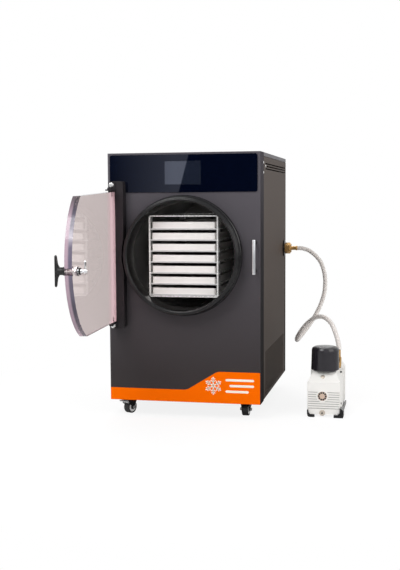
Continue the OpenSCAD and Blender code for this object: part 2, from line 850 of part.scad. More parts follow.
// Finned coil with its end plates, standing behind the left vent, and the fan's carrier.
module condenser() {
    fin_n = 26;
    x0 = -205;
    x1 = -165;
    y0 = 130;
    y1 = 390;
    z0 = 2;
    z1 = 205;
    fan_y = (y0 + y1) / 2;
    fan_z = 108;
    color("gray") in_cabinet() {
        for (i = [0:fin_n - 1]) {
            y = lerp(y0, y1 - 1.2, i / (fin_n - 1));
            block([x0, y, z0], [x1, y + 1.2, z1]);
        }
        for (x = [x0 + 10, x1 - 10], k = [0:6]) {
            translate([x, 0, z0 + 18 + k * 28]) rod_y(5, y0 - 8, y1 + 8);
        }
        block([x1 - eps, fan_y - 100, z0], [x1 + 2, fan_y - 88, z1]);
        block([x1 - eps, fan_y + 88, z0], [x1 + 2, fan_y + 100, z1]);
        for (s = [-1, 1]) {
            block([x1, fan_y + s * 94 - 6, fan_z - 6], [x1 + 58, fan_y + s * 94 + 6, fan_z + 6]);
        }
        block([x1 + 50, fan_y - 100, fan_z - 6], [x1 + 58, fan_y + 100, fan_z + 6]);
        translate([0, fan_y, fan_z]) rod_x(28, x1 + 38, x1 + 78);
        translate([0, fan_y, fan_z]) rod_x(4, x1 + 8, x1 + 40);
    }
}

module condenser_fan() {
    blades = 5;
    hub_x0 = -155;
    color("dimgray") in_cabinet() translate([hub_x0, 260, 108]) rotate([0, 90, 0]) difference() {
        union() {
            cylinder(h = 22, r = 20);
            for (k = [0:blades - 1]) {
                rotate(k * 360 / blades) translate([17, 0, 11]) rotate([28, 0, 0])
                    block([0, -16, -1], [63, 16, 1]);
            }
        }
        translate([0, 0, -1]) cylinder(h = 24, r = 4 + turn_fit);
    }
}

module refrigerant_lines() {
    color("peru") in_cabinet() {
        swept_tube(smooth_route(discharge_route, 2), line_r, 8, [1, 0, 0]);
        swept_tube(smooth_route(suction_route, 2), line_r, 8, [1, 0, 0]);
        // Filter drier on the discharge line.
        translate([0, discharge_route[3][1], discharge_route[3][2]]) rod_x(11, -70, 0);
    }
}

module control_board() {
    color("darkgreen") in_cabinet() {
        wall_y(24, 26) rect(-130, 645, 100, 720);
        for (x = [-124, 94], z = [651, 714]) {
            translate([x, 0, z]) rod_y(3, sheet_t, 24);
        }
        for (x = [-100:44:80]) {
            block([x, 26 - eps, 660], [x + 24, 44, 692]);
        }
        translate([60, 0, 702]) rod_y(9, 26 - eps, 52);
    }
}

// Rocker on its pin: long along X, pushed down at one end, with its face towards +Z.
module rocker(width) {
    rotate([0, -rocker_tilt, 0]) {
        wall_y(-width / 2, width / 2) polygon([[-5, -5], [5, -5], [9.5, 4.5], [0, 2.5], [-9.5, 4.5]]);
        rod_y(rocker_pin_r, -width / 2 - 2, width / 2 + 2);
    }
}

// Well and pin bore that take the rocker.
module rocker_well(width) {
    block([-rocker_reach, -width / 2 - gap, -10], [rocker_reach, width / 2 + gap, 10]);
    rod_y(rocker_pin_r + turn_fit, -width / 2 - 2.5, width / 2 + 2.5);
}

// Frame of the mains switch: local Z points back, out of the cabinet, and local X up.
module on_switch() {
    in_cabinet() translate([socket_x + 17, cab_d - 3, socket_z]) rotate([0, -90, -90]) children();
}

// Mains inlet with a deep recess for the plug and a well for the switch, behind one flange.
module power_inlet() {
    color("#141414") difference() {
        in_cabinet() translate([socket_x, 0, socket_z]) difference() {
            union() {
                wall_y(cab_d, cab_d + rear_proud) square([66, 32], center = true);
                wall_y(cab_d - 24, cab_d) square([60, 26], center = true);
            }
            translate([-15, 0, 0]) difference() {
                wall_y(cab_d - 17, cab_d + 5) square([24, 18], center = true);
                for (x = [-7, 0, 7]) {
                    wall_y(cab_d - 18, cab_d - 8) translate([x, x == 0 ? 3 : -1])
                        square([2, 5], center = true);
                }
            }
        }
        on_switch() rocker_well(13);
    }
}

module power_switch() {
    color("#aa1d1d") on_switch() rocker(13);
}

// Brass hex, neck and barb on the right side.
module vacuum_fitting() {
    color("goldenrod") in_cabinet() translate([0, port_y, port_z]) difference() {
        union() {
            rod_x(14, half_w - 4, half_w + 6);
            translate([half_w + 6, 0, 0]) rotate([0, 90, 0]) cylinder(h = 17, r = 19, $fn = 6);
            rod_x(15, half_w + 23, half_w + 26);
            rod_x(6.5, half_w + 26, hose_x);
            rod_x(8.2, hose_x - 5, hose_x - 2);
        }
        rod_x(4, half_w - 5, hose_x + 1);
    }
}

module port_grommet() {
    color("#101010") in_cabinet() translate([0, port_y, port_z]) difference() {
        union() {
            rod_x(27, half_w, half_w + 5);
            rod_x(22, half_w - 4, half_w);
        }
        rod_x(14.1, half_w - 5, half_w + 6);
    }
}

// ---------------------------------------------------------------- casters

// Frame of caster i under its swivel axis: local X points where the wheel trails.
module on_caster(i) {
    side = caster_side[i];
    y = side[1] == 0 ? caster_in : cab_d - caster_in;
    in_cabinet() translate([side[0] * (half_w - caster_in), y, 0]) rotate([0, 0, caster_angle[i]]) children();
}

module caster_plates() {
    color("silver") for (i = [0:3]) {
        on_caster(i) rotate([0, 0, -caster_angle[i]]) difference() {
            union() {
                translate([0, 0, -plate_t]) linear_extrude(plate_t) round_rect(44, 44, 4);
                translate([0, 0, -plate_t - race_h]) cylinder(h = race_h, r = 15);
            }
            translate([0, 0, -plate_t - race_h - 1]) cylinder(h = race_h + 1, r = 5 + turn_fit);
            for (sx = [-1, 1], sy = [-1, 1]) {
                translate([sx * 17, sy * 17, -plate_t - 1]) cylinder(h = plate_t + 2, r = 2.2);
            }
        }
    }
}

// Forked arm with its kingpin, cheeks and axle. The front forks also carry the pedal's pin.
module caster_fork(i) {
    crown_z = -plate_t - race_h - 0.3;
    pedal = i < 2;
    color("#151517") on_caster(i) {
        translate([0, 0, crown_z]) cylinder(h = race_h - 0.6, r = 5);
        translate([0, 0, crown_z - crown_t]) linear_extrude(crown_t) {
            circle(14);
            rect(0, -fork_gap / 2 - cheek_t, trail + 6, fork_gap / 2 + cheek_t);
        }
        for (s = [-1, 1]) {
            y = s * (fork_gap + cheek_t) / 2;
            translate([0, y + cheek_t / 2, 0]) rotate([90, 0, 0]) linear_extrude(cheek_t) {
                polygon([[-4, crown_z - eps], [trail + 6, crown_z - eps], [trail + 6, axle_z],
                    [trail - 5.5, axle_z], [trail - 7, axle_z + 8]]);
                translate([trail, axle_z]) circle(6);
                if (pedal) {
                    polygon([[trail, crown_z - eps], [pedal_u + 3, crown_z - eps], [pedal_u + 3, pedal_z - 4],
                        [trail + 5, axle_z + 4]]);
                }
            }
            translate([trail, s * (fork_gap / 2 + cheek_t + 2), axle_z]) rotate([90, 0, 0])
                cylinder(h = 4, r = 4.8, center = true, $fn = 6);
        }
        translate([trail, 0, axle_z]) rotate([90, 0, 0])
            cylinder(h = fork_gap + 2 * cheek_t + 1, r = axle_r, center = true);
        if (pedal) {
            translate([pedal_u, 0, pedal_z]) rotate([90, 0, 0])
                cylinder(h = fork_gap + 2 * cheek_t, r = pedal_pin_r, center = true);
        }
    }
}

module caster_wheel(i) {
    tyre_in = wheel_r - 4.5;
    color("#2a2a2c") on_caster(i) translate([trail, 0, axle_z]) rotate([90, 0, 0]) difference() {
        rotate_extrude() difference() {
            union() {
                rect(0, -wheel_w / 2, wheel_r - 2, wheel_w / 2);
                rect(0, -wheel_w / 2 + 2, wheel_r, wheel_w / 2 - 2);
                for (s = [-1, 1]) {
                    translate([wheel_r - 2, s * (wheel_w / 2 - 2)]) circle(2);
                }
            }
            rect(axle_r + 5, wheel_w / 2 - 1, tyre_in, wheel_w);
            rect(axle_r + 5, -wheel_w, tyre_in, -wheel_w / 2 + 1);
        }
        cylinder(h = wheel_w + 2, r = axle_r + turn_fit, center = true);
    }
}

// Foot pedal of a front caster: a hub on the pin and a tab that stands out behind the wheel.
module brake_pedal(i) {
    half = fork_gap / 2 - 0.5;
    color("lightgray") on_caster(i) difference() {
        union() {
            translate([pedal_u, 0, pedal_z]) rotate([90, 0, 0])
                cylinder(h = 2 * half, r = 2.8, center = true);
            translate([0, half, 0]) rotate([90, 0, 0]) linear_extrude(2 * half)
                polygon([[pedal_u + 2, pedal_z - 1], [pedal_u + 5, pedal_z - 1], [pedal_u + 7, -9],
                    [pedal_u + 20, -8], [pedal_u + 21, -6], [pedal_u + 20, -4.5], [pedal_u + 6, -5.5],
                    [pedal_u + 1, pedal_z + 2]]);
        }
        translate([pedal_u, 0, pedal_z]) rotate([90, 0, 0])
            cylinder(h = fork_gap, r = pedal_pin_r + turn_fit, center = true);
    }
}

// ---------------------------------------------------------------- pump

// Section of the pump body across its width, with sloping shoulders.
module pump_section(w, top, sw, sh) {
    polygon([[-w / 2 + 5, foot_h], [w / 2 - 5, foot_h], [w / 2, foot_h + 6], [w / 2, top - sh],
        [w / 2 - sw, top], [-w / 2 + sw, top], [-w / 2, top - sh], [-w / 2, foot_h + 6]]);
}

// Frame on the sloping front of the oil case's top, local Z standing square to it.
module on_slope() {
    translate([-4, slope_h / 2, pump_top - slope_h / 2]) rotate([45, 0, 0]) children();
}

module pump_oil_case() {
    color("white") in_pump() difference() {
        union() {
            wall_y(3.5, case_len) pump_section(pump_w, pump_top, shoulder_w, shoulder_h);
            wall_y(0, 3.6) pump_section(pump_w - 5, pump_top - 6, shoulder_w, shoulder_h);
            translate([-4, 0, sight_z]) rod_y(18, -2.5, 4);
        }
        wall_x(-pump_w, pump_w)
            polygon([[-1, pump_top - slope_h - 1], [slope_h, pump_top], [slope_h, pump_top + 9],
                [-1, pump_top + 9]]);
        for (k = [0:rib_n - 1]) {
            difference() {
                block([-pump_w, -1, first_rib - k * rib_pitch - 1.1],
                    [pump_w, rib_cut, first_rib - k * rib_pitch + 1.1]);
                translate([-4, 0, sight_z]) rod_y(18, -3, 4);
            }
        }
        translate([-4, 0, sight_z]) rod_y(14, -3, 3);
        translate([-4, 0, foot_h + 5]) rod_y(6, -1, 8);
        on_slope() translate([0, 0, -13]) cylinder(h = 30, r = 6);
        translate([0, filter_y, pump_top - 10]) cylinder(h = 20, r = 12);
    }
}

// Pump module and motor in one finned housing, closed by the fan cover behind.
module pump_motor() {
    top = motor_top;
    color("white") in_pump() difference() {
        union() {
            wall_y(case_len, case_len + 40) pump_section(pump_w - 1, top, 10, 12);
            wall_y(case_len + 40, pump_len - 32) pump_section(pump_w - 14, top - 8, 18, 24);
            for (k = [0:8]) {
                z = foot_h + 16 + k * 12;
                block([-pump_w / 2 + 1, case_len + 38, z - 1.2], [pump_w / 2 - 1, pump_len - 30, z + 1.2]);
            }
            wall_y(pump_len - 32, pump_len) pump_section(pump_w - 1, top - 2, 16, 20);
        }
        wall_y(pump_len - 3, pump_len + 1) translate([0, foot_h + 62]) {
            for (k = [0:6]) {
                translate([0, (k - 3) * 11]) obround(64 - abs(k - 3) * 8, 4);
            }
        }
        translate([inlet_x, inlet_y, top - 12]) cylinder(h = 20, r = 7);
        translate([0, pump_len - 16, top - 5]) rocker_well(12);
    }
}

module pump_filter() {
    r = filter_d / 2;
    z0 = pump_top;
    color("#2b2b31") in_pump() translate([0, filter_y, 0]) union() {
        rotate_extrude($fn = 72) polygon([[0, z0], [r - 8, z0], [r - 7, z0 + 1], [r - 0.5, z0 + 4.5],
            [r, z0 + 7], [r - 1.5, z0 + filter_h - 10], [r - 4, z0 + filter_h - 4],
            [r - 10, z0 + filter_h - 1], [r - 16, z0 + filter_h], [0, z0 + filter_h]]);
        translate([0, 0, pump_top - 9]) cylinder(h = 12, r = 11.5);
    }
}

// Oil filler plug at the front of the shoulder and drain plug under it.
module pump_plugs() {
    color("goldenrod") in_pump() {
        on_slope() translate([0, 0, -12]) cylinder(h = 12, r = 5.8);
        on_slope() screw_head(6.5, 2);
        translate([-4, 0, foot_h + 5]) difference() {
            union() {
                rod_y(5.8, 0, 7.5);
                rod_y(8.5, -5, 0);
            }
            rod_y(2.5, -6, -2);
        }
    }
}

// Round oil-level window: a bezel ring with ten ports round a plain centre.
module pump_sight_glass() {
    color("rosybrown") in_pump() translate([-4, 0, sight_z]) difference() {
        rod_y(13.8, -1.5, 2.8);
        for (k = [0:9]) {
            rotate([0, k * 36, 0]) translate([10.4, 0, 0]) rod_y(1.9, -2, 0);
        }
    }
}

// Brass inlet: hex base, neck and barb for the hose.
module pump_inlet() {
    base = motor_top;
    color("goldenrod") in_pump() translate([inlet_x, inlet_y, 0]) difference() {
        union() {
            translate([0, 0, base - 11]) cylinder(h = 12, r = 6.8);
            translate([0, 0, base]) cylinder(h = 5, r = 7);
            translate([0, 0, base + 5]) cylinder(h = 16, r = 7.2, $fn = 6);
            translate([0, 0, base + 21]) cylinder(h = 3, r = 5.6);
            translate([0, 0, base + 24]) cylinder(h = 19.4, r = 5);
        }
        translate([0, 0, base - 12]) cylinder(h = 60, r = 3.5);
    }
}

// Rubber skid under each side of the pump: the left one ends in a small hook, the right one in a tall toe.
module pump_feet() {
    edge = pump_w / 2 + 0.3;
    color("#161616") in_pump() {
        for (s = [-1, 1]) {
            block([min(s * 30, s * 46), -0.5, 0], [max(s * 30, s * 46), pump_len - 12, foot_h]);
        }
        wall_y(-6, -0.2) polygon([[-49, 22], [-45.5, 22], [-44, 12], [-39, 7.5], [-27, 7], [-26, 1.5],
            [-29, 0], [-42, 0], [-47, 3], [-49, 10]]);
        wall_y(-7, 22) polygon([[30, 0], [foot_out - 2, 0], [foot_out, 5], [foot_out, 22], [edge, 30],
            [edge, foot_h + 4], [46, foot_h - 0.2], [30, foot_h - 0.2]]);
        wall_x(edge, edge + 3.7)
            polygon([[20, 0], [pump_len - 14, 0], [pump_len - 6, 8], [pump_len - 14, 10], [20, 20]]);
        block([40, 20, 0], [edge + 1.7, pump_len - 14, foot_h / 2]);
    }
}

module pump_switch() {
    color("#aa1d1d") in_pump() translate([0, pump_len - 16, motor_top - 5]) rocker(12);
}

// ---------------------------------------------------------------- hose

module suction_hose() {
    color([0.93, 0.93, 0.9, 0.6]) in_cabinet()
        swept_tube(smooth_route(hose_route, 2), hose_d / 2, 10, [0, 0, 1]);
}

base_pan();
chassis_frame();
front_fascia();
accent_panel();
side_panel_left();
side_panel_right();
top_cover();
rear_panel();
control_glass();
touch_screen();
cabinet_screws();
hinge_mount();
latch_keeper();
chamber_vessel();
chamber_insulation();
evaporator_coil();
door_gasket();
rack_frame();
heated_shelves();
tray(1);  // tray_1
tray(2);  // tray_2
tray(3);  // tray_3
tray(4);  // tray_4
tray(5);  // tray_5
tray(6);  // tray_6
tray(7);  // tray_7
hinge_brackets();
door_panel();
door_bushing();
handle_grip();
latch_shaft();
compressor();
condenser();
condenser_fan();
refrigerant_lines();
control_board();
vacuum_fitting();
port_grommet();
power_inlet();
power_switch();
caster_plates();
caster_fork(0);  // caster_fork_fl
caster_fork(1);  // caster_fork_fr
caster_fork(2);  // caster_fork_rl
caster_fork(3);  // caster_fork_rr
caster_wheel(0);  // caster_wheel_fl
caster_wheel(1);  // caster_wheel_fr
caster_wheel(2);  // caster_wheel_rl
caster_wheel(3);  // caster_wheel_rr
brake_pedal(0);  // brake_pedal_fl
brake_pedal(1);  // brake_pedal_fr
pump_oil_case();
pump_motor();
pump_filter();
pump_plugs();
pump_sight_glass();
pump_inlet();
pump_feet();
pump_switch();
suction_hose();
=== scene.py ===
"""Looks of the freeze dryer: materials, fine sheet perforation, braided hose and the studio round them."""

import json
import math

import bmesh
import bpy
from mathutils import Matrix, Vector


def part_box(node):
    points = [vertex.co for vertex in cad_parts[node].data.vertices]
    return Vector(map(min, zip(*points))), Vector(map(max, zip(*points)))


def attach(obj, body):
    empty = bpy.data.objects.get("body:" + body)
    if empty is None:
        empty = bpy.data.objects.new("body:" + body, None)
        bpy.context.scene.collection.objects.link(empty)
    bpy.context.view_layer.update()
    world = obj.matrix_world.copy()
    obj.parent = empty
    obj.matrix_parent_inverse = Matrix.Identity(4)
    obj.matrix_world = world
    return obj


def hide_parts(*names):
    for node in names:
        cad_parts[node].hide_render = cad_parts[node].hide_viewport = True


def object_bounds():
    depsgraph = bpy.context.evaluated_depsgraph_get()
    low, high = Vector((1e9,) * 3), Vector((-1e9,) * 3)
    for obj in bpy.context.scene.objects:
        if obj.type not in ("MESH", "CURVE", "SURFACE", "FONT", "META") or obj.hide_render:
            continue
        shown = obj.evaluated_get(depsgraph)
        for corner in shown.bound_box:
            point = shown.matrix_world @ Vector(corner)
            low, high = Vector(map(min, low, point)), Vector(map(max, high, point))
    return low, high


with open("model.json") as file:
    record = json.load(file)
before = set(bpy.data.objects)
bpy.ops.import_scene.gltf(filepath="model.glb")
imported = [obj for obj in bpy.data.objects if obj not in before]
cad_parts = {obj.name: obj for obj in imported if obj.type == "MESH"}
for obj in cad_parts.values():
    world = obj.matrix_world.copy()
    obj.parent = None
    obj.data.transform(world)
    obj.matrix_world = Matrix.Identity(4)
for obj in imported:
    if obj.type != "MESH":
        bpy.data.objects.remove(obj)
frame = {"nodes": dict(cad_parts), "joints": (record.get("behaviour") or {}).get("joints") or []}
CAD_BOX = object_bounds()

# ------------------------------------------------------------------ the shared frame

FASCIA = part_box("front_fascia")
CENTRE_X = (FASCIA[0].x + FASCIA[1].x) / 2
FRONT_Y = FASCIA[0].y
UNDER_Z = FASCIA[0].z


def cab(x, y, z):
    """Point in millimetres from the cabinet's front centre and underside, as metres in the shared frame."""
    return Vector((CENTRE_X + x / 1000, FRONT_Y + y / 1000, UNDER_Z + z / 1000))


# Places in millimetres as in the part's source: the hinge axis, the door's inner face and the angle it stands
# open at, the latch, the middle of the pump's front foot line, and the hose port in the right side sheet.
HINGE_X, HINGE_Y = -205, -57
DOOR_OPEN = math.radians(86.5)
DOOR_IN_Y = -47
LATCH_X, LATCH_Z = 194, 420
PUMP_X, PUMP_Y = 404, 87
PORT_Y, PORT_Z, PORT_R = 519, 433, 22.5


def on_door(x, y, z):
    """Point given with the door shut, turned to where the door stands open."""
    across, out = x - HINGE_X, y - HINGE_Y
    return cab(HINGE_X + across * math.cos(DOOR_OPEN) + out * math.sin(DOOR_OPEN),
               HINGE_Y - across * math.sin(DOOR_OPEN) + out * math.cos(DOOR_OPEN), z)


def in_pump(x, y, z):
    """Point given from the floor under the middle of the pump's front face."""
    point = cab(PUMP_X + x, PUMP_Y + y, 0)
    point.z = CAD_BOX[0].z + z / 1000
    return point


def add_object(name, data):
    """Object linked to the scene."""
    obj = bpy.data.objects.new(name, data)
    bpy.context.scene.collection.objects.link(obj)
    return obj


def turns(steps):
    """Angles of one even turn."""
    return [2 * math.pi * k / steps for k in range(steps)]


# ------------------------------------------------------------------ camera

# Place in millimetres as for cab, turns in degrees, lens and sensor in millimetres, clip range in metres.
CAMERA_AT = (649.7, -2754.9, 593.8)
CAMERA_YAW = 12.289
CAMERA_PITCH = -4.961
CAMERA_ROLL = 0.338
CAMERA_LENS = 61.09
SENSOR_WIDTH = 36
CLIP_RANGE = (0.05, 60)


def make_camera():
    """Camera at the measured place, looking left and slightly down."""
    data = bpy.data.cameras.new("camera")
    data.lens = CAMERA_LENS
    data.sensor_width = SENSOR_WIDTH
    data.clip_start, data.clip_end = CLIP_RANGE
    camera = add_object("camera", data)
    turn = Matrix.Rotation(math.radians(CAMERA_YAW), 4, "Z")
    tilt = Matrix.Rotation(math.radians(90 + CAMERA_PITCH), 4, "X")
    roll = Matrix.Rotation(math.radians(-CAMERA_ROLL), 4, "Z")
    camera.matrix_world = Matrix.Translation(cab(*CAMERA_AT)) @ turn @ tilt @ roll
    bpy.context.scene.camera = camera


# ------------------------------------------------------------------ material kit


def linear(red, green, blue):
    """Scene colour of a colour given in 0 to 255."""
    out = []
    for value in (red, green, blue):
        v = value / 255
        out.append(v / 12.92 if v <= 0.04045 else ((v + 0.055) / 1.055) ** 2.4)
    return (*out, 1.0)


class Shade:
    """A node material under construction, with its Principled shader and object coordinates in metres.

    A socket given by keyword has _ for each space of its name.
    """

    def __init__(self, name, color, rough, metallic=0.0, **sockets):
        self.mat = bpy.data.materials.new(name)
        self.mat.use_nodes = True
        self.tree = self.mat.node_tree
        self.bsdf = self.tree.nodes["Principled BSDF"]
        self.out = self.tree.nodes["Material Output"]
        self.set("Base Color", color)
        self.set("Roughness", rough)
        self.set("Metallic", metallic)
        for key, value in sockets.items():
            self.set(key.replace("_", " "), value)
        self.coords = self.node("ShaderNodeTexCoord").outputs["Object"]
        self.height = None

    def set(self, socket, value):
        self.bsdf.inputs[socket].default_value = value

    def node(self, kind, **settings):
        made = self.tree.nodes.new(kind)
        for key, value in settings.items():
            setattr(made, key, value)
        return made

    def join(self, source, target):
        self.tree.links.new(source, target)

    def feed(self, made, socket, value):
        """Links or sets one input of a node."""
        if isinstance(value, bpy.types.NodeSocket):
            self.join(value, made.inputs[socket])
        else:
            made.inputs[socket].default_value = value

    def math(self, operation, a, b=0.0, clamp=False):
        made = self.node("ShaderNodeMath", operation=operation, use_clamp=clamp)
        self.feed(made, 0, a)
        self.feed(made, 1, b)
        return made.outputs[0]

    def product(self, *factors):
        """Product of two or more factors."""
        out = factors[0]
        for factor in factors[1:]:
            out = self.math("MULTIPLY", out, factor)
        return out

    def vector(self, operation, a, b=None, result="Vector"):
        """Vector maths; result names the output that is wanted."""
        made = self.node("ShaderNodeVectorMath", operation=operation)
        self.feed(made, 0, a)
        if b is not None:
            self.feed(made, 1, b)
        return made.outputs[result]

    def over(self, below, above, fac):
        """Shader that goes from below to above with a factor."""
        made = self.node("ShaderNodeMixShader")
        self.join(fac, made.inputs["Fac"])
        self.join(below.outputs[0], made.inputs[1])
        self.join(above.outputs[0], made.inputs[2])
        return made

    def scaled(self, x, y, z):
        """Coordinates stretched along the axes, for brushed and drawn finishes."""
        made = self.node("ShaderNodeMapping")
        self.join(self.coords, made.inputs["Vector"])
        made.inputs["Scale"].default_value = (x, y, z)
        return made.outputs["Vector"]

    def noise(self, scale, detail=3.0, rough=0.55, vector=None):
        made = self.node("ShaderNodeTexNoise")
        self.join(vector or self.coords, made.inputs["Vector"])
        made.inputs["Scale"].default_value = scale
        made.inputs["Detail"].default_value = detail
        made.inputs["Roughness"].default_value = rough
        return made.outputs["Fac"]

    def ramp(self, fac, low, high, start=0.0, end=1.0):
        """Maps a 0 to 1 factor onto low to high between start and end."""
        made = self.node("ShaderNodeMapRange")
        self.feed(made, "Value", fac)
        made.inputs["From Min"].default_value = start
        made.inputs["From Max"].default_value = end
        made.inputs["To Min"].default_value = low
        made.inputs["To Max"].default_value = high
        return made.outputs["Result"]

    def position(self, axis):
        """One object coordinate, 0, 1 or 2, in metres."""
        made = self.node("ShaderNodeSeparateXYZ")
        self.join(self.coords, made.inputs[0])
        return made.outputs[axis]

    def facing(self, direction):
        """Cosine between the surface's own normal and a fixed direction of the object."""
        normal = self.node("ShaderNodeTexCoord").outputs["Normal"]
        return self.vector("DOT_PRODUCT", normal, direction, "Value")

    def around(self):
        """Turns round a tube and metres along it, from its UVs."""
        made = self.node("ShaderNodeSeparateXYZ")
        self.join(self.node("ShaderNodeUVMap").outputs["UV"], made.inputs[0])
        return made.outputs["X"], made.outputs["Y"]

    def mix(self, fac, a, b):
        made = self.node("ShaderNodeMix", data_type="RGBA")
        self.feed(made, "Factor", fac)
        self.feed(made, 6, a)
        self.feed(made, 7, b)
        return made.outputs[2]

    def shaded(self, base, factor):
        """A colour multiplied by a number."""
        made = self.node("ShaderNodeVectorMath", operation="SCALE")
        self.feed(made, 0, base if isinstance(base, bpy.types.NodeSocket) else base[:3])
        self.feed(made, "Scale", factor)
        return made.outputs["Vector"]

    def paint(self, value):
        self.join(value, self.bsdf.inputs["Base Color"])

    def roughen(self, value):
        self.join(value, self.bsdf.inputs["Roughness"])

    def bump(self, height, depth, strength=1.0):
        """Adds a layer of bump, depth in metres."""
        made = self.node("ShaderNodeBump")
        made.inputs["Distance"].default_value = depth
        made.inputs["Strength"].default_value = strength
        self.join(height, made.inputs["Height"])
        if self.height:
            self.join(self.height, made.inputs["Normal"])
        self.height = made.outputs["Normal"]
        self.join(self.height, self.bsdf.inputs["Normal"])

    def edge(self, radius=0.0012):
        """1 along convex and concave edges, 0 on flats."""
        bevel = self.node("ShaderNodeBevel", samples=4)
        bevel.inputs["Radius"].default_value = radius
        normal = self.node("ShaderNodeNewGeometry").outputs["Normal"]
        return self.ramp(self.vector("DOT_PRODUCT", bevel.outputs[0], normal, "Value"), 1.0, 0.0, 0.90, 0.995)


def tint(color, factor):
    """A colour made lighter or darker."""
    return (*[min(1.0, c * factor) for c in color[:3]], 1.0)


def finish(name, color, rough, metallic=0.0, tone=0.08, tone_scale=5.0, swing=0.05, grain=900.0,
           depth=0.00003, wear=0.0, worn=None, **sockets):
    """Common finish: cloudy tone, uneven gloss, a fine surface grain and optional rubbed edges."""
    s = Shade(name, color, rough, metallic, **sockets)
    cloud = s.noise(tone_scale, 4.0)
    base = s.mix(cloud, tint(color, 1 - tone), tint(color, 1 + tone))
    if wear:
        rub = s.math("MULTIPLY", s.edge(), s.ramp(s.noise(60.0, 4.0), 0.0, wear, 0.42, 0.62), clamp=True)
        base = s.mix(rub, base, worn or tint(color, 2.2))
    s.paint(base)
    s.roughen(s.ramp(s.noise(tone_scale * 6, 5.0), rough - swing, rough + swing, 0.3, 0.7))
    s.bump(s.noise(grain, 2.0), depth)
    return s


def brushed(name, color, rough, along, metallic=1.0, pitch=2600.0, tone=0.06):
    """Metal drawn or brushed along one axis: 0, 1 or 2."""
    s = Shade(name, color, rough, metallic)
    stretch = [1.0, 1.0, 1.0]
    stretch[along] = 0.02
    lines = s.noise(pitch, 2.0, 0.6, s.scaled(*stretch))
    s.paint(s.mix(lines, tint(color, 1 - tone), tint(color, 1 + tone)))
    uneven = s.math("ADD", lines, s.math("MULTIPLY", s.noise(14.0), 0.5))
    s.roughen(s.ramp(uneven, rough * 0.7, rough * 1.35, 0.4, 1.1))
    s.bump(lines, 0.000012)
    return s


# ------------------------------------------------------------------ mesh kit

# Points this close, in metres, are welded. Edges shade smooth up to one angle and are rounded over the other.
WELD_WITHIN = 0.00001
SMOOTH_TO = math.radians(32)
BEVEL_FROM = math.radians(35)


def soften_group():
    """Geometry nodes that weld a CAD mesh and shade it smooth across shallow edges."""
    group = bpy.data.node_groups.new("soften", "GeometryNodeTree")
    group.interface.new_socket("Geometry", in_out="INPUT", socket_type="NodeSocketGeometry")
    group.interface.new_socket("Geometry", in_out="OUTPUT", socket_type="NodeSocketGeometry")
    new, join = group.nodes.new, group.links.new
    start, end = new("NodeGroupInput"), new("NodeGroupOutput")
    weld = new("GeometryNodeMergeByDistance")
    weld.inputs["Distance"].default_value = WELD_WITHIN
    smooth = new("GeometryNodeSetShadeSmooth")
    angle = new("GeometryNodeInputMeshEdgeAngle")
    over = new("FunctionNodeCompare")
    over.operation = "GREATER_THAN"
    over.inputs["B"].default_value = SMOOTH_TO
    sharp = new("GeometryNodeSetShadeSmooth")
    sharp.domain = "EDGE"
    sharp.inputs["Shade Smooth"].default_value = False
    join(start.outputs[0], weld.inputs["Geometry"])
    join(weld.outputs[0], smooth.inputs["Geometry"])
    join(smooth.outputs[0], sharp.inputs["Geometry"])
    join(angle.outputs["Unsigned Angle"], over.inputs["A"])
    join(over.outputs[0], sharp.inputs["Selection"])
    join(sharp.outputs[0], end.inputs[0])
    return group


SOFTEN = soften_group()


def soften(obj, width=0.0, segments=2):
    """Welds, smooths and, with a width, rounds the sharp edges of a piece."""
    modifier = obj.modifiers.new("soften", "NODES")
    modifier.node_group = SOFTEN
    if width:
        bevel = obj.modifiers.new("edge", "BEVEL")
        bevel.width = width
        bevel.segments = segments
        bevel.limit_method = "ANGLE"
        bevel.angle_limit = BEVEL_FROM
        bevel.use_clamp_overlap = True
        bevel.harden_normals = True


def dress(node, shade, width, segments=2):
    """Material and soft edges for a CAD node that is carried over."""
    obj = frame["nodes"][node]
    normals = obj.data.attributes.get("custom_normal")
    if normals:
        obj.data.attributes.remove(normals)
    obj.data.materials.clear()
    obj.data.materials.append(shade.mat)
    soften(obj, width, segments)


def piece(name, bm, shade, body, smooth=True):
    """Object made from a bmesh, riding on a CAD body."""
    mesh = bpy.data.meshes.new(name)
    bm.to_mesh(mesh)
    bm.free()
    mesh.materials.append(shade.mat)
    for face in mesh.polygons:
        face.use_smooth = smooth
    obj = add_object(name, mesh)
    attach(obj, body)
    return obj


def add_prism(bm, outline, low, high, place):
    """Closed prism over an outline of (a, b) points; place(a, b, c) gives the point at height c."""
    bottom = [bm.verts.new(place(a, b, low)) for a, b in outline]
    top = [bm.verts.new(place(a, b, high)) for a, b in outline]
    bm.faces.new(bottom[::-1])
    bm.faces.new(top)
    for i in range(len(outline)):
        j = (i + 1) % len(outline)
        bm.faces.new((bottom[i], bottom[j], top[j], top[i]))


def add_rings(bm, rings, closed=False):
    """Skins a list of point rings."""
    rows = [[bm.verts.new(p) for p in ring] for ring in rings]
    pairs = list(zip(rows, rows[1:])) + ([(rows[-1], rows[0])] if closed else [])
    for a, b in pairs:
        for i in range(len(a)):
            j = (i + 1) % len(a)
            bm.faces.new((a[i], a[j], b[j], b[i]))
    return rows


def round_rings(profile, place, steps):
    """Rings of points round an axis, one for each (radius, height) of the profile."""
    return [[place(r * math.cos(t), r * math.sin(t), h) for t in turns(steps)] for r, h in profile]


def lathe(bm, profile, place, steps):
    """Capped solid of revolution. profile holds (radius, height); place(x, y, h) gives the point."""
    rows = add_rings(bm, round_rings(profile, place, steps))
    bm.faces.new(rows[0][::-1])
    bm.faces.new(rows[-1])


def circle_points(radius, count, at=(0, 0), start=0.0):
    angles = [start + t for t in turns(count)]
    return [(at[0] + radius * math.cos(t), at[1] + radius * math.sin(t)) for t in angles]


# ------------------------------------------------------------------ materials

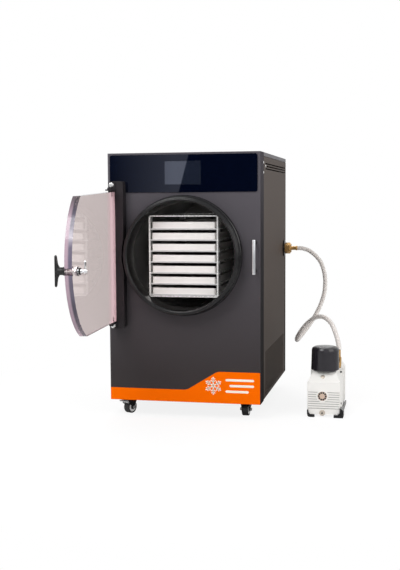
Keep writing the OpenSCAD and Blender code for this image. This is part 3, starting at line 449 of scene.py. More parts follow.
# Where the side's rear strip starts, and on the door's rim the heights of the painted glint and the painted
# shade at the top corner.
REAR_STRIP_Y = 545
GLINT_Z = 506
CORNER_SHADE_Z0, CORNER_SHADE_Z1 = 553, 600


def speckled_paint(name, color, rough, low=None, **sockets):
    """Satin powder coat: fine orange peel, faint lighter specks, and painted shade that darkens it to a
    second colour at the foot.
    """
    s = Shade(name, color, rough, 0.0, **sockets)
    base = color
    # Painted shade: the coat darkens to the low colour towards the foot.
    if low:
        base = s.mix(s.ramp(s.position(2), 0.0, 1.0, UNDER_Z + 0.08, UNDER_Z + 0.64), low, color)
    cloud = s.noise(2.2, 3.0)
    base = s.shaded(base, s.ramp(cloud, 0.97, 1.03, 0.3, 0.7))
    base = s.shaded(base, s.ramp(s.noise(2400.0, 1.0), 1.0, 1.35, 0.66, 0.74))
    rub = s.math("MULTIPLY", s.edge(0.0009), s.ramp(s.noise(45.0, 4.0), 0.0, 0.5, 0.5, 0.66), clamp=True)
    s.paint(s.mix(rub, base, tint(color, 2.0)))
    s.roughen(s.ramp(s.noise(9.0, 6.0), rough - 0.03, rough + 0.04, 0.3, 0.7))
    s.bump(s.noise(1500.0, 2.0), 0.00004, 0.7)
    s.base = base
    return s


def fascia_paint():
    """Front coat: painted shade on the folded right flange and the left return, a painted highlight on the
    left fold.
    """
    s = speckled_paint("charcoal_coat", linear(87, 84, 90), 0.46, linear(58, 54, 55),
                       Specular_IOR_Level=0.08)
    x = s.position(0)
    left, right = FASCIA[0].x, FASCIA[1].x
    # Painted shade on the folded right flange, lightening towards its top.
    flange = s.math("GREATER_THAN", x, right - 0.0004)
    painted_flange_shade = s.ramp(s.position(2), 0.27, 0.75, UNDER_Z + 0.45, UNDER_Z + 0.72)
    tone = s.mix(flange, (1.0, 1.0, 1.0, 1.0), painted_flange_shade)
    # Painted shade on the return at the far left, and a painted highlight along the fold beside it.
    painted_return_shade = s.ramp(s.math("LESS_THAN", x, left + 0.0022), 1.0, 0.1)
    painted_fold_highlight = s.product(s.math("GREATER_THAN", x, left + 0.0024), s.math("LESS_THAN", x, left + 0.0044))
    s.paint(s.shaded(s.base, s.product(tone, painted_return_shade, s.ramp(painted_fold_highlight, 1.0, 1.7))))
    s.roughen(s.ramp(flange, 0.46, 0.95))
    return s


def keeper_chrome():
    """Chrome bar whose two feet against the front carry painted shade: dark and barely metallic."""
    bright = linear(226, 227, 230)
    s = finish("keeper_chrome", bright, 0.13, 1.0, tone_scale=20.0, swing=0.04, grain=300.0, depth=0.00001)
    # Painted shade: the feet against the front are dark and barely metallic.
    foot = s.math("GREATER_THAN", s.position(1), FRONT_Y - 0.003)
    s.paint(s.mix(foot, bright, linear(46, 44, 48)))
    s.join(s.ramp(foot, 1.0, 0.2), s.bsdf.inputs["Metallic"])
    return s


def chamber_enamel():
    """Glossy enamel with painted shade: near black round the mouth, lightening to grey towards the back."""
    s = finish("chamber_enamel", linear(148, 145, 144), 0.2, grain=400.0, depth=0.00001,
               Specular_IOR_Level=0.5)
    # Painted shade: black at the mouth, lightening to grey deeper in.
    painted_light_depth = s.ramp(s.position(1), 0.0, 1.0, FRONT_Y - 0.01, FRONT_Y + 0.13)
    cloud = s.ramp(s.noise(8.0, 4.0), 0.88, 1.12)
    s.paint(s.shaded(s.mix(painted_light_depth, linear(36, 35, 35), linear(168, 166, 165)), cloud))
    return s


def darken_rear(s):
    """Darkens the rear strip of a side towards the foot, where it turns away from the light."""
    side = s.math("GREATER_THAN", s.math("ABSOLUTE", s.facing((1.0, 0.0, 0.0))), 0.5)
    strip = s.math("GREATER_THAN", s.position(1), cab(0, REAR_STRIP_Y, 0).y)
    dark = s.product(side, strip, s.ramp(s.position(2), 1.0, 0.0, UNDER_Z + 0.12, UNDER_Z + 0.46))
    s.paint(s.shaded(s.base, s.ramp(dark, 1.0, 0.04)))
    s.roughen(s.ramp(dark, 0.58, 0.98))
    return s


def clear_acrylic():
    """Tinted acrylic: clear through its faces, pinker by the hinge, its rim streaked lilac and slate."""
    tinted, by_hinge = linear(222, 209, 207), linear(237, 207, 211)
    s = Shade("clear_acrylic", tinted, 0.03, IOR=1.2, Transmission_Weight=1.0, Specular_IOR_Level=0.15)
    near = s.ramp(s.position(1), 0.0, 1.0, cab(0, HINGE_Y - 46, 0).y, cab(0, HINGE_Y - 34, 0).y)
    s.paint(s.mix(near, tinted, by_hinge))
    s.roughen(s.ramp(s.noise(30.0, 5.0), 0.015, 0.06, 0.35, 0.7))
    s.bump(s.noise(6.0, 2.0), 0.00012, 0.25)
    clear = s.node("ShaderNodeBsdfTransparent")
    clear.inputs["Color"].default_value = linear(224, 214, 214)
    sheet = s.over(s.bsdf, clear, s.node("ShaderNodeLightPath").outputs["Is Shadow Ray"])
    # The polished rim shows the colours inside the sheet, in two layers through its thickness.
    across = (math.sin(DOOR_OPEN), math.cos(DOOR_OPEN), 0.0)
    depth = s.vector("DOT_PRODUCT", s.coords, across, "Value")
    inner = on_door(0, DOOR_IN_Y, 0).dot(Vector(across))
    layer = s.ramp(depth, 0.0, 1.0, inner - 0.0125, inner - 0.0085)
    streak = s.noise(1.0, 2.0, 0.5, s.scaled(2.0, 12.0, 7.0))
    pale = s.mix(streak, linear(160, 138, 154), linear(216, 188, 204))
    slate = s.mix(s.ramp(streak, 0.0, 1.0, 0.35, 0.7), linear(76, 71, 86), linear(128, 120, 142))
    # A painted glint above the middle, and painted shade darkens the rim to black towards the top corner.
    height = s.position(2)
    from_glint = s.math("ABSOLUTE", s.math("SUBTRACT", height, cab(0, 0, GLINT_Z).z))
    slate = s.mix(s.ramp(from_glint, 0.85, 0.0, 0.0, 0.026), slate, linear(206, 198, 212))
    shadow = s.ramp(height, 0.0, 0.95, cab(0, 0, CORNER_SHADE_Z0).z, cab(0, 0, CORNER_SHADE_Z1).z)
    pale = s.mix(shadow, pale, linear(96, 84, 92))
    slate = s.mix(shadow, slate, linear(22, 20, 26))
    rim = s.node("ShaderNodeBsdfPrincipled")
    hinge_edge = s.math("GREATER_THAN", s.position(1), cab(0, HINGE_Y - 22, 0).y)
    s.join(s.mix(hinge_edge, s.mix(layer, pale, slate), linear(226, 212, 216)), rim.inputs["Base Color"])
    rim.inputs["Roughness"].default_value = 0.14
    # Level with the latch the outer rim is clear, so the bush inside shows.
    from_latch = s.math("ABSOLUTE", s.math("SUBTRACT", height, cab(0, 0, LATCH_Z).z))
    beside = s.math("MAXIMUM", s.math("GREATER_THAN", from_latch, 0.0088), hinge_edge)
    turned = s.ramp(s.math("ABSOLUTE", s.facing(across)), 0.86, 0.0, 0.45, 0.8)
    s.join(s.over(sheet, rim, s.product(turned, beside)).outputs[0], s.out.inputs["Surface"])
    return s


def hose_wall():
    """Clear soft PVC with faint helical ridges."""
    s = Shade("hose_wall", linear(250, 247, 244), 0.12, IOR=1.4, Alpha=0.38)
    around, along = s.around()
    helix = s.math("ADD", around, s.math("MULTIPLY", along, 210.0))
    s.bump(s.math("SINE", s.math("MULTIPLY", helix, 2 * math.pi)), 0.00015, 0.6)
    s.paint(s.mix(s.noise(40.0), linear(246, 238, 234), linear(255, 251, 248)))
    return s


def hose_braid():
    """White reinforcing braid, two crossing families of yarns with gaps between them."""
    s = Shade("hose_braid", linear(238, 232, 228), 0.55)
    around, along = s.around()
    around = s.math("MULTIPLY", around, 6.0)
    along = s.math("MULTIPLY", along, 150.0)

    def yarn(direction):
        turn = s.math("ADD", around, s.math("MULTIPLY", along, direction))
        wave = s.math("COSINE", s.math("MULTIPLY", turn, 2 * math.pi))
        return s.ramp(wave, 0.0, 1.0, 0.15, 0.75)

    lines = s.math("MAXIMUM", yarn(1.0), yarn(-1.0))
    s.paint(s.mix(lines, linear(238, 229, 225), linear(255, 254, 252)))
    s.bump(lines, 0.0001, 0.7)
    return s


# Radii of a wheel's pale ring, and where a fork's axle nuts start and end from the wheel's centre. Metres.
RING_IN, RING_OUT = 0.0082, 0.0149
NUT_FROM, NUT_WITHIN = 0.01355, 0.0195


def wheel_finish(name, centre, axis):
    """Dark tyre and hub with a pale ring between them: the tone follows the distance from the axle."""
    s = Shade(name, linear(60, 60, 62), 0.5, Specular_IOR_Level=0.35)
    across = s.vector("CROSS_PRODUCT", s.vector("SUBTRACT", s.coords, centre), axis)
    far = s.vector("LENGTH", across, result="Value")
    tyre = s.mix(s.noise(120.0, 4.0), linear(26, 26, 28), linear(48, 47, 48))
    ring = s.mix(s.noise(60.0, 3.0), linear(242, 242, 242), linear(254, 254, 254))
    pale = s.product(s.math("GREATER_THAN", far, RING_IN), s.math("LESS_THAN", far, RING_OUT))
    s.paint(s.mix(pale, tyre, ring))
    s.roughen(s.ramp(s.noise(200.0, 4.0), 0.38, 0.6))
    s.bump(s.noise(1500.0, 2.0), 0.00004)
    return s


def fork_finish(name, centre, axis):
    """Black enamel with bright nuts on the ends of the axle."""
    s = finish(name, linear(20, 20, 22), 0.38, 0.1, tone=0.15, tone_scale=40.0, Specular_IOR_Level=0.35)
    away = s.vector("SUBTRACT", s.coords, centre)
    along = s.math("ABSOLUTE", s.vector("DOT_PRODUCT", away, axis, "Value"))
    near = s.math("LESS_THAN", s.vector("LENGTH", away, result="Value"), NUT_WITHIN)
    nut = s.product(s.math("GREATER_THAN", along, NUT_FROM), near)
    enamel = s.mix(s.noise(40.0, 4.0), linear(17, 17, 19), linear(26, 26, 28))
    steel = s.mix(s.noise(300.0, 3.0), linear(186, 186, 186), linear(216, 216, 216))
    s.paint(s.mix(nut, enamel, steel))
    s.join(s.ramp(nut, 0.1, 0.8), s.bsdf.inputs["Metallic"])
    return s


def ribbed_casting():
    """White enamelled casting with painted shade in the grooves between the ribs."""
    s = finish("ribbed_casting", linear(248, 247, 244), 0.38, tone=0.02, tone_scale=18.0, swing=0.07,
               grain=800.0, depth=0.00009)
    front, top_rib = in_pump(0, 0, 0).y, in_pump(0, 0, 76).z
    # Painted shade: the grooves between the ribs are darkened to half.
    painted_light_depth = s.product(s.ramp(s.position(1), 0.0, 1.0, front + 0.0008, front + 0.002),
                     s.math("LESS_THAN", s.position(1), front + 0.0026),
                     s.math("LESS_THAN", s.position(2), top_rib))
    enamel = s.mix(s.noise(18.0, 4.0), linear(246, 245, 242), linear(250, 249, 246))
    s.paint(s.shaded(enamel, s.ramp(painted_light_depth, 1.0, 0.5)))
    return s


# The second colours given to the front, side, dark and rear coats are painted shade at the foot.
CHARCOAL = speckled_paint("top_coat", linear(80, 77, 82), 0.46, Specular_IOR_Level=0.3)
FRONT = fascia_paint()
SIDE = darken_rear(speckled_paint("side_coat", linear(81, 72, 67), 0.6, linear(59, 50, 44),
                                  Specular_IOR_Level=0.07))
DARK = speckled_paint("dark_coat", linear(40, 37, 40), 0.45, linear(31, 29, 31), Specular_IOR_Level=0.2)
REAR = darken_rear(speckled_paint("rear_coat", linear(64, 59, 56), 0.5, linear(50, 45, 42),
                                  Specular_IOR_Level=0.08))
INNER = finish("inner_steel", linear(96, 97, 99), 0.45, 0.6, tone=0.12)
ORANGE = finish("orange_film", linear(255, 110, 0), 0.4, tone=0.01, tone_scale=3.0, swing=0.04, grain=500.0,
                depth=0.00001, wear=0.5, worn=linear(178, 66, 6), Specular_IOR_Level=0.02)
PANEL = finish("panel_glass", linear(4, 9, 26), 0.012, tone=0.1, tone_scale=2.0, swing=0.006, grain=3.0,
               depth=0.000004, Specular_IOR_Level=0.35)
SCREEN = finish("screen_glass", linear(29, 35, 49), 0.014, tone=0.05, tone_scale=2.0, swing=0.006, grain=3.0,
                depth=0.000004, Specular_IOR_Level=1.0)
ZINC = finish("bright_zinc", linear(222, 222, 222), 0.26, 0.8, tone=0.08, tone_scale=60.0, grain=700.0)
CHROME = finish("chrome", linear(232, 233, 235), 0.12, 1.0, tone=0.03, tone_scale=20.0, swing=0.04,
                grain=300.0, depth=0.00001)
VESSEL = chamber_enamel()
KEEPER = keeper_chrome()
RACK = finish("polished_wire", linear(240, 240, 238), 0.28, 0.45, tone=0.04, tone_scale=30.0, grain=250.0)
SHELF = brushed("shelf_plate", linear(206, 206, 206), 0.32, 0, metallic=0.4)
TRAY = brushed("tray_steel", linear(248, 245, 242), 0.4, 0, metallic=0.25, pitch=1800.0, tone=0.03)
FOAM = finish("cell_foam", linear(40, 40, 42), 0.9, tone=0.2, tone_scale=90.0, grain=500.0, depth=0.0004)
COPPER = brushed("drawn_copper", linear(196, 122, 88), 0.3, 1, tone=0.15)
RUBBER = finish("black_rubber", linear(20, 20, 22), 0.2, tone=0.12, tone_scale=25.0, swing=0.03, grain=1400.0,
                depth=0.00001, Specular_IOR_Level=0.32)
ACRYLIC = clear_acrylic()
GRIP = finish("moulded_black", linear(22, 22, 23), 0.38, tone=0.15, tone_scale=30.0, swing=0.06, grain=1600.0,
              depth=0.00007, wear=0.5, worn=linear(76, 76, 78), Specular_IOR_Level=0.4)
BLACK_METAL = finish("black_enamel", linear(34, 34, 37), 0.3, 0.2, tone=0.1, wear=0.4)
FINS = brushed("fin_stock", linear(176, 177, 178), 0.4, 2)
BOARD = finish("solder_mask", linear(26, 92, 52), 0.35, tone=0.15, tone_scale=40.0)
BRASS = finish("turned_brass", linear(196, 156, 100), 0.26, 1.0, tone=0.14, tone_scale=50.0, swing=0.1,
               grain=500.0, depth=0.00005)
NICKEL = finish("dull_nickel", linear(206, 196, 184), 0.34, 0.7, tone=0.1, tone_scale=60.0, grain=600.0)
PEDAL = finish("pedal_grey", linear(186, 187, 188), 0.42, tone=0.08, tone_scale=60.0, wear=0.4)
FORK = finish("fork_black", linear(20, 20, 22), 0.38, 0.1, tone=0.15, tone_scale=40.0, wear=0.6,
              worn=linear(90, 90, 92), Specular_IOR_Level=0.35)
CASTING = finish("white_casting", linear(248, 247, 244), 0.38, tone=0.02, tone_scale=18.0, swing=0.07,
                 grain=800.0, depth=0.00009, wear=0.35, worn=linear(196, 194, 190))
RIBBED = ribbed_casting()
FILTER = finish("filter_shell", linear(35, 33, 39), 0.2, tone=0.06, tone_scale=14.0, swing=0.06, grain=900.0,
                depth=0.00004, wear=0.3, worn=linear(104, 104, 108), Specular_IOR_Level=0.4)
SIGHT = finish("sight_window", linear(214, 190, 172), 0.2, tone=0.08, tone_scale=120.0, grain=60.0)
SWITCH = finish("rocker_red", linear(172, 26, 20), 0.3, tone=0.06, tone_scale=50.0)
SOCKET = finish("socket_black", linear(26, 26, 27), 0.4, tone=0.1, tone_scale=40.0)
PRINT = finish("cream_print", linear(255, 246, 230), 0.5, tone=0.02, tone_scale=20.0, Specular_IOR_Level=0.2)

NODE_SHADES = {
    "base_pan": (INNER, 0.0006), "chassis_frame": (INNER, 0.0008), "front_fascia": (FRONT, 0.0005),
    "accent_panel": (ORANGE, 0.0003), "top_cover": (CHARCOAL, 0.0006), "rear_panel": (REAR, 0.0005),
    "control_glass": (PANEL, 0.0005), "touch_screen": (SCREEN, 0.0002), "cabinet_screws": (ZINC, 0.0002),
    "hinge_mount": (DARK, 0.001), "latch_keeper": (KEEPER, 0.0006), "chamber_vessel": (VESSEL, 0.0008),
    "chamber_insulation": (FOAM, 0.001), "evaporator_coil": (COPPER, 0.0), "door_gasket": (RUBBER, 0.0008),
    "rack_frame": (RACK, 0.0009), "heated_shelves": (SHELF, 0.0004), "hinge_brackets": (DARK, 0.0006),
    "door_panel": (ACRYLIC, 0.0008), "door_bushing": (CHROME, 0.0006), "handle_grip": (GRIP, 0.0022),
    "latch_shaft": (CHROME, 0.0006), "compressor": (BLACK_METAL, 0.002), "condenser": (FINS, 0.0),
    "condenser_fan": (GRIP, 0.0005), "refrigerant_lines": (COPPER, 0.0), "control_board": (BOARD, 0.0003),
    "vacuum_fitting": (BRASS, 0.0007), "port_grommet": (RUBBER, 0.001), "power_inlet": (SOCKET, 0.0006),
    "power_switch": (SWITCH, 0.0006), "caster_plates": (FORK, 0.0004), "pump_oil_case": (RIBBED, 0.0005),
    "pump_motor": (CASTING, 0.0014), "pump_filter": (FILTER, 0.0016), "pump_plugs": (NICKEL, 0.0005),
    "pump_sight_glass": (SIGHT, 0.0003), "pump_inlet": (BRASS, 0.0004), "pump_feet": (RUBBER, 0.002),
    "pump_switch": (SWITCH, 0.0006), "brake_pedal_fl": (PEDAL, 0.0006), "brake_pedal_fr": (PEDAL, 0.0006),
}


def dress_nodes():
    """Gives every CAD node that isn't replaced its finish."""
    for node, (shade, width) in NODE_SHADES.items():
        dress(node, shade, width)
    for i in range(1, 8):
        dress("tray_%d" % i, TRAY, 0.0004)
    for corner in ("fl", "fr", "rl", "rr"):
        joint = next(j for j in frame["joints"] if j["name"] == "wheel_spin_" + corner)
        axle = joint["pos_m"], joint["axis"]
        dress("caster_fork_" + corner, fork_finish("fork_" + corner, *axle), 0.0004)
        dress("caster_wheel_" + corner, wheel_finish("tyre_" + corner, *axle), 0.0008, 3)


# ------------------------------------------------------------------ side sheets with fine perforation

# Louvres: rows of slots under the top edge, the middle one starting further back. Millimetres.
LOUVRE_ROWS = ((97, 20.0), (116, 27.6), (97, 35.2))
LOUVRE_END, LOUVRE_R = 548.2, 1.8
# Honeycomb: hexagonal holes from a corner, in rows of 68 and 67 that stand a share of the pitch apart.
COMB_FROM = (94, 16)
COMB_ROWS, COMB_COLUMNS = 24, 68
COMB_PITCH, COMB_ROW_SHARE, COMB_R = 6.2, 0.866, 2.35
# The cutters reach this far inside the sheet, and twice as far outwards, in metres.
CUT_STEP = 0.002


def hull_order(points):
    """Points of a convex outline in order round their middle."""
    middle = (sum(p[0] for p in points) / len(points), sum(p[1] for p in points) / len(points))
    return sorted(points, key=lambda p: math.atan2(p[1] - middle[1], p[0] - middle[0]))


def side_openings(top, port):
    """Outlines of the louvres, the honeycomb and the port of one side sheet."""
    ends = circle_points(LOUVRE_R, 12)
    for start, drop in LOUVRE_ROWS:
        left = [(start + LOUVRE_R + a, top - drop + b) for a, b in ends if a <= 0.01]
        right = [(LOUVRE_END + a, top - drop + b) for a, b in ends if a >= -0.01]
        yield hull_order(left + right)
    for row in range(COMB_ROWS):
        shift = COMB_PITCH / 2 if row % 2 else 0
        for column in range(COMB_COLUMNS - row % 2):
            y = COMB_FROM[0] + shift + column * COMB_PITCH
            z = COMB_FROM[1] + row * COMB_PITCH * COMB_ROW_SHARE
            yield circle_points(COMB_R, 6, (y, z), math.pi / 6)
    if port:
        yield circle_points(PORT_R, 48, (PORT_Y, PORT_Z))


def make_side(node, sign, port):
    """Outer sheet of one side, with its openings cut through it, in place of the CAD sheet."""
    low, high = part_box(node)
    inner, outer = (low.x, high.x) if sign > 0 else (high.x, low.x)
    y0, y1 = (low.y - FRONT_Y) * 1000, (high.y - FRONT_Y) * 1000
    z0, z1 = (low.z - UNDER_Z) * 1000, (high.z - UNDER_Z) * 1000

    def on_sheet(y, z, side):
        point = cab(0, y, z)
        point.x = outer if side else inner
        return point

    def through(y, z, side):
        point = on_sheet(y, z, 0)
        point.x += sign * CUT_STEP * side
        return point

    bm = bmesh.new()
    add_prism(bm, [(y0, z0), (y1, z0), (y1, z1), (y0, z1)], 0, 1, on_sheet)
    bmesh.ops.recalc_face_normals(bm, faces=bm.faces)
    sheet = piece(node + "_sheet", bm, SIDE, "cabinet", smooth=False)
    cutter = bmesh.new()
    for outline in side_openings(z1, port):
        add_prism(cutter, outline, -1, 2, through)
    bmesh.ops.recalc_face_normals(cutter, faces=cutter.faces)
    mesh = bpy.data.meshes.new("cutter")
    cutter.to_mesh(mesh)
    cutter.free()
    tool = add_object("cutter", mesh)
    cutting = sheet.modifiers.new("cut", "BOOLEAN")
    cutting.object = tool
    cutting.operation = "DIFFERENCE"
    cutting.solver = "EXACT"
    evaluated = sheet.evaluated_get(bpy.context.evaluated_depsgraph_get())
    done = bpy.data.meshes.new_from_object(evaluated)
    sheet.modifiers.clear()
    sheet.data = done
    bpy.data.objects.remove(tool)
    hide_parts(node)


# ------------------------------------------------------------------ hose

HOSE_ROUTE = [
    (276, 519, 433), (292, 519, 432), (312, 518, 426), (333, 515, 412), (351, 511, 393), (363, 506, 369),
    (370, 500, 341), (372, 493, 311), (369, 486, 281), (360, 477, 250), (347, 465, 220), (330, 449, 190),
    (311, 427, 163), (297, 393, 145), (294, 354, 143), (300, 319, 159), (318, 296, 187), (340, 284, 212),
    (366, 265, 230), (393, 242, 231), (415, 220, 215), (428, 205, 191), (437, 198, 164), (441, 195, 139),
]
ROUTE_STEPS = 8
HOSE_D = 0.015
BRAID_SHARE = 0.8


def spline(points, steps):
    """Catmull-Rom curve through the points."""
    out = []
    last = len(points) - 1
    for i in range(last):
        a, b, c, d = (points[min(max(k, 0), last)] for k in (i - 1, i, i + 1, i + 2))
        for step in range(steps):
            t = step / steps
            out.append(0.5 * (2 * b + (c - a) * t + (2 * a - 5 * b + 4 * c - d) * t * t
                              + (3 * b - 3 * c + d - a) * t ** 3))
    return out + [points[last]]


def tube(name, path, radius, shade, body):
    """Tube along a path, with UVs of turns round it and metres along it."""
    bm = bmesh.new()
    uv = bm.loops.layers.uv.new("UVMap")
    side = Vector((0, 0, 1))
    rows, marks, travelled, sides = [], [], 0.0, 24
    for i, point in enumerate(path):
        ahead = (path[min(i + 1, len(path) - 1)] - path[max(i - 1, 0)]).normalized()
        side = (side - ahead * side.dot(ahead)).normalized()
        other = ahead.cross(side)
        if i:
            travelled += (point - path[i - 1]).length
        around = [point + (side * math.cos(t) + other * math.sin(t)) * radius for t in turns(sides)]
        rows.append([bm.verts.new(p) for p in around])
        marks.append(travelled)
    for i in range(len(rows) - 1):
        for k in range(sides):
            n = (k + 1) % sides
            face = bm.faces.new((rows[i][k], rows[i][n], rows[i + 1][n], rows[i + 1][k]))
            for loop, (u, v) in zip(face.loops, ((k, i), (k + 1, i), (k + 1, i + 1), (k, i + 1))):
                loop[uv].uv = (u / sides, marks[v])
    bm.faces.new(rows[0][::-1])
    bm.faces.new(rows[-1])
    bmesh.ops.recalc_face_normals(bm, faces=bm.faces)
    return piece(name, bm, shade, body), travelled


def make_hose():
    """Clear braided hose from the cabinet's fitting to the pump's inlet."""
    path = spline([cab(*p) for p in HOSE_ROUTE], ROUTE_STEPS)
    wall, length = tube("hose_wall", path, HOSE_D / 2, hose_wall(), "cabinet")
    braid = tube("hose_braid", path, HOSE_D / 2 * BRAID_SHARE, hose_braid(), "cabinet")[0]
    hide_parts("suction_hose")


# ------------------------------------------------------------------ small parts of the latch and the pump

# Inner and outer radius, then start and end inwards from the door's inner face.
WASHER = (6.1, 8.6, 9.55, 13.95)
SEAL = (6.5, 12.0, 6.05, 7.8)
RING_STEPS, RING_SOFT = 40, 0.4


def ring_piece(name, place, inner, outer, low, high, shade, body, slot):
    """Plain ring with softened edges round an axis; place(a, b, h) gives the point."""
    profile = [(inner, low), (outer - RING_SOFT, low), (outer, low + RING_SOFT), (outer, high - RING_SOFT),
               (outer - RING_SOFT, high), (inner, high)]
    bm = bmesh.new()
    add_rings(bm, round_rings(profile, place, RING_STEPS), closed=True)
    bmesh.ops.recalc_face_normals(bm, faces=bm.faces)
    soften(piece(name, bm, shade, body))


def make_latch_rings():
    """Black washer on the latch's shaft and the dark seal behind the bush's nut."""

    def at(a, b, h):
        return on_door(LATCH_X + a, DOOR_IN_Y + h, LATCH_Z + b)

    ring_piece("latch_washer", at, *WASHER, RUBBER, "latch", "black_rubber")
    ring_piece("bush_seal", at, *SEAL, RUBBER, "door", "black_rubber")


# The sight glass's middle on the pump's front, the circle of its ports, and the height of the drain plug.
SIGHT_X, SIGHT_Z = -4, 63
PORTS_R, PORT_COUNT = 10.4, 10
DRAIN_Z = 13
# Cap screws: one faces the front and one faces the right.
FRONT_CAP = (43.2, 104, 119)
RIGHT_CAP = (49, 26, 38)
# Profiles as (radius, height).
PORT_PROFILE = [(1.9, -0.1), (2.0, -0.6), (2.8, -1.6), (2.8, -1.9), (2.2, -2.3)]
CAP_PROFILE = [(2.9, 0.0), (2.9, 1.3), (2.4, 1.9), (1.3, 2.0), (1.3, 1.0)]
DRAIN_PROFILE = [(2.2, 2.6), (2.4, 5.2), (1.9, 5.6)]


def make_pump_details():
    """Dark ports of the sight glass and the black cap screws of the pump."""
    bm = bmesh.new()
    for x, z in circle_points(PORTS_R, PORT_COUNT, (SIGHT_X, SIGHT_Z)):
        lathe(bm, PORT_PROFILE, lambda a, b, h: in_pump(x + a, h, z + b), 16)
    bmesh.ops.recalc_face_normals(bm, faces=bm.faces)
    soften(piece("sight_ports", bm, SOCKET, "cabinet"))
    bm = bmesh.new()
    x, y, z = FRONT_CAP
    lathe(bm, CAP_PROFILE, lambda a, b, h: in_pump(x + a, y - h, z + b), 20)
    x, y, z = RIGHT_CAP
    lathe(bm, CAP_PROFILE, lambda a, b, h: in_pump(x + h, y + a, z + b), 20)
    lathe(bm, DRAIN_PROFILE, lambda a, b, h: in_pump(SIGHT_X + a, -h, DRAIN_Z + b), 20)
    bmesh.ops.recalc_face_normals(bm, faces=bm.faces)
    soften(piece("pump_screws", bm, SOCKET, "cabinet"))


# ------------------------------------------------------------------ print on the accent

# Snowflake: its middle, the reach of its arms, where and how long each arm's twigs are, and their lean.
FLAKE = (88.0, 52.0)
FLAKE_ARM = 25
FLAKE_TWIGS = ((11, 8), (18, 6))
TWIG_LEAN = 55
FLAKE_WIDE, TWIG_WIDE, BAR_WIDE = 3.4, 2.6, 7.0
# Bars: start and end of each, from the top one down.
BARS = ((128, 206), (140, 206), (128, 190))
BARS_TOP, BARS_STEP = 70, 17
# The print's back and face, in front of the fascia.
PRINT_BACK, PRINT_FACE = 1.02, 1.25


def make_print():
    """Generic snowflake and plain bars on the accent."""
    bm = bmesh.new()

    def stroke(a, b, wide):
        direction = Vector((b[0] - a[0], b[1] - a[1])).normalized()
        normal = Vector((-direction.y, direction.x))
        outline = []
        for end, sense in ((b, 1), (a, -1)):
            for k in range(7):
                t = math.pi / 2 - math.pi * k / 6
                offset = (direction * math.cos(t) + normal * math.sin(t)) * sense * wide / 2
                outline.append((end[0] + offset.x, end[1] + offset.y))
        add_prism(bm, outline, PRINT_BACK, PRINT_FACE, lambda p, q, c: cab(p, -c, q))

    def away(start, angle, reach):
        return start[0] + math.cos(angle) * reach, start[1] + math.sin(angle) * reach

    for arm in range(6):
        t = math.radians(30 + 60 * arm)
        stroke(FLAKE, away(FLAKE, t, FLAKE_ARM), FLAKE_WIDE)
        for reach, size in FLAKE_TWIGS:
            base = away(FLAKE, t, reach)
            for lean in (-TWIG_LEAN, TWIG_LEAN):
                stroke(base, away(base, t + math.radians(lean), size), TWIG_WIDE)
    for k, (start, end) in enumerate(BARS):
        z = BARS_TOP - BARS_STEP * k
        stroke((start, z), (end, z), BAR_WIDE)
    bmesh.ops.recalc_face_normals(bm, faces=bm.faces)
    piece("accent_device", bm, PRINT, "cabinet", smooth=False)


# ------------------------------------------------------------------ studio

FLOOR_REACH = 14.0
# The floor turns from shadow-keeping to plain white between these distances from the origin, in metres.
WHITE_FROM, WHITE_TO = 0.55, 1.1
WORLD_LEVEL = 0.45
# Lamps: place and aim in millimetres, size in metres, power in watts, colour.
LAMPS = (
    ("key", (-900, -1900, 2300), (0, 0, 500), (1.4, 1.4), 42, (1, 1, 1)),
    ("fill", (2300, -900, 1300), (200, 250, 350), (1.6, 1.6), 20, (1.0, 0.97, 0.94)),
    ("rear", (-300, 2400, 2200), (0, 500, 400), (1.6, 1.6), 22, (1, 1, 1)),
)


def make_floor():
    """Pale floor that reads as the white background and keeps a soft shadow round the object."""
    mesh = bpy.data.meshes.new("floor")
    corners = ((-1, -1), (1, -1), (1, 1), (-1, 1))
    points = [(x * FLOOR_REACH, y * FLOOR_REACH, CAD_BOX[0].z) for x, y in corners]
    mesh.from_pydata(points, [], [(0, 1, 2, 3)])
    s = Shade("floor_white", (0.86, 0.86, 0.86, 1.0), 0.7)
    s.paint(s.mix(s.noise(3.0), (0.85, 0.85, 0.85, 1.0), (0.87, 0.87, 0.87, 1.0)))
    away = s.vector("LENGTH", s.coords, result="Value")
    keep = s.ramp(away, 0.80, 1.0, WHITE_FROM, WHITE_TO)
    path = s.node("ShaderNodeLightPath")
    seen = s.math("MAXIMUM", path.outputs["Is Camera Ray"], path.outputs["Is Transmission Ray"])
    white = s.node("ShaderNodeEmission")
    s.join(s.ramp(away, 1.07, 1.0, WHITE_FROM, WHITE_TO), white.inputs["Strength"])
    s.join(s.over(s.bsdf, white, s.product(seen, keep)).outputs[0], s.out.inputs["Surface"])
    mesh.materials.append(s.mat)
    add_object("floor", mesh)


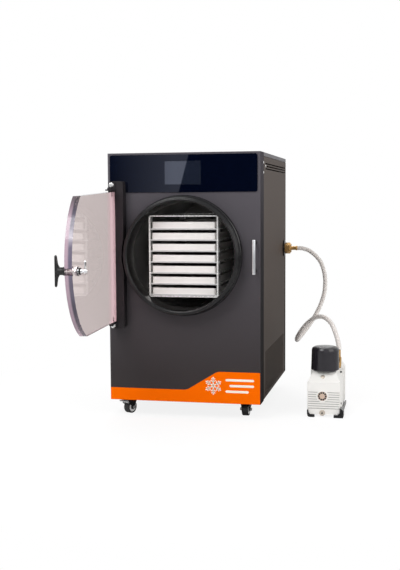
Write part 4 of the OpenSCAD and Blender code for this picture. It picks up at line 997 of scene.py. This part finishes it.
def make_world():
    """White to the camera and to glass and metal, a plain even level to everything else."""
    world = bpy.data.worlds.new("studio")
    bpy.context.scene.world = world
    world.use_nodes = True
    tree = world.node_tree
    back = tree.nodes["Background"]
    path = tree.nodes.new("ShaderNodeLightPath")
    strength = tree.nodes.new("ShaderNodeMapRange")
    strength.inputs["To Min"].default_value = WORLD_LEVEL
    strength.inputs["To Max"].default_value = 1.0
    seen = path.outputs["Is Camera Ray"]
    for name in ("Is Glossy Ray", "Is Transmission Ray"):
        add = tree.nodes.new("ShaderNodeMath")
        add.operation = "MAXIMUM"
        tree.links.new(seen, add.inputs[0])
        tree.links.new(path.outputs[name], add.inputs[1])
        seen = add.outputs[0]
    tree.links.new(seen, strength.inputs["Value"])
    tree.links.new(strength.outputs["Result"], back.inputs["Strength"])
    back.inputs["Color"].default_value = (1, 1, 1, 1)


def make_card(name, corners, left, right, start=0.0, end=1.0, color=(1.0, 1.0, 1.0, 1.0)):
    """Flat card that only reflections see; its strength goes from left to right over start to end in X."""
    mesh = bpy.data.meshes.new(name)
    mesh.from_pydata([cab(*c) for c in corners], [], [tuple(range(len(corners)))])
    s = Shade(name, (0.0, 0.0, 0.0, 1.0), 1.0)
    glow = s.node("ShaderNodeEmission")
    glow.inputs["Color"].default_value = color
    s.join(s.ramp(s.position(0), left, right, cab(start, 0, 0).x, cab(end, 0, 0).x), glow.inputs["Strength"])
    s.join(glow.outputs[0], s.out.inputs["Surface"])
    mesh.materials.append(s.mat)
    card = add_object(name, mesh)
    for ray in ("visible_camera", "visible_diffuse", "visible_transmission", "visible_shadow"):
        setattr(card, ray, False)


def make_lamp(name, at, aim, size, power, color):
    """Soft rectangular lamp."""
    data = bpy.data.lights.new(name, "AREA")
    data.shape = "RECTANGLE"
    data.size, data.size_y = size
    data.energy = power
    data.color = color
    lamp = add_object(name, data)
    lamp.location = cab(*at)
    lamp.rotation_mode = "QUATERNION"
    lamp.rotation_quaternion = (cab(*aim) - cab(*at)).to_track_quat("-Z", "Y")


def make_studio():
    """Floor, world, lamps and the cards that the glass mirrors."""
    make_floor()
    make_world()
    for lamp in LAMPS:
        make_lamp(*lamp)
    # What the control glass mirrors: a black flag, and a lit card whose slanted edge crosses the panel.
    flag = [(-2700, -6200, 350), (-200, -6200, 350), (-200, -6200, 1400), (-2700, -6200, 1400)]
    glow = [(-2600, -6000, 400), (-1530, -6000, 400), (-1281, -6000, 1300), (-2600, -6000, 1300)]
    make_card("flag", flag, 0.0, 0.0)
    make_card("glow", glow, 0.0, 1.0, -2150, -1500, (0.93, 1.0, 1.24, 1.0))
    bpy.context.scene.view_settings.view_transform = "Standard"


# ------------------------------------------------------------------ build

make_camera()
make_hose()
dress_nodes()
make_side("side_panel_left", -1, False)
make_side("side_panel_right", 1, True)
make_latch_rings()
make_pump_details()
make_print()
make_studio()
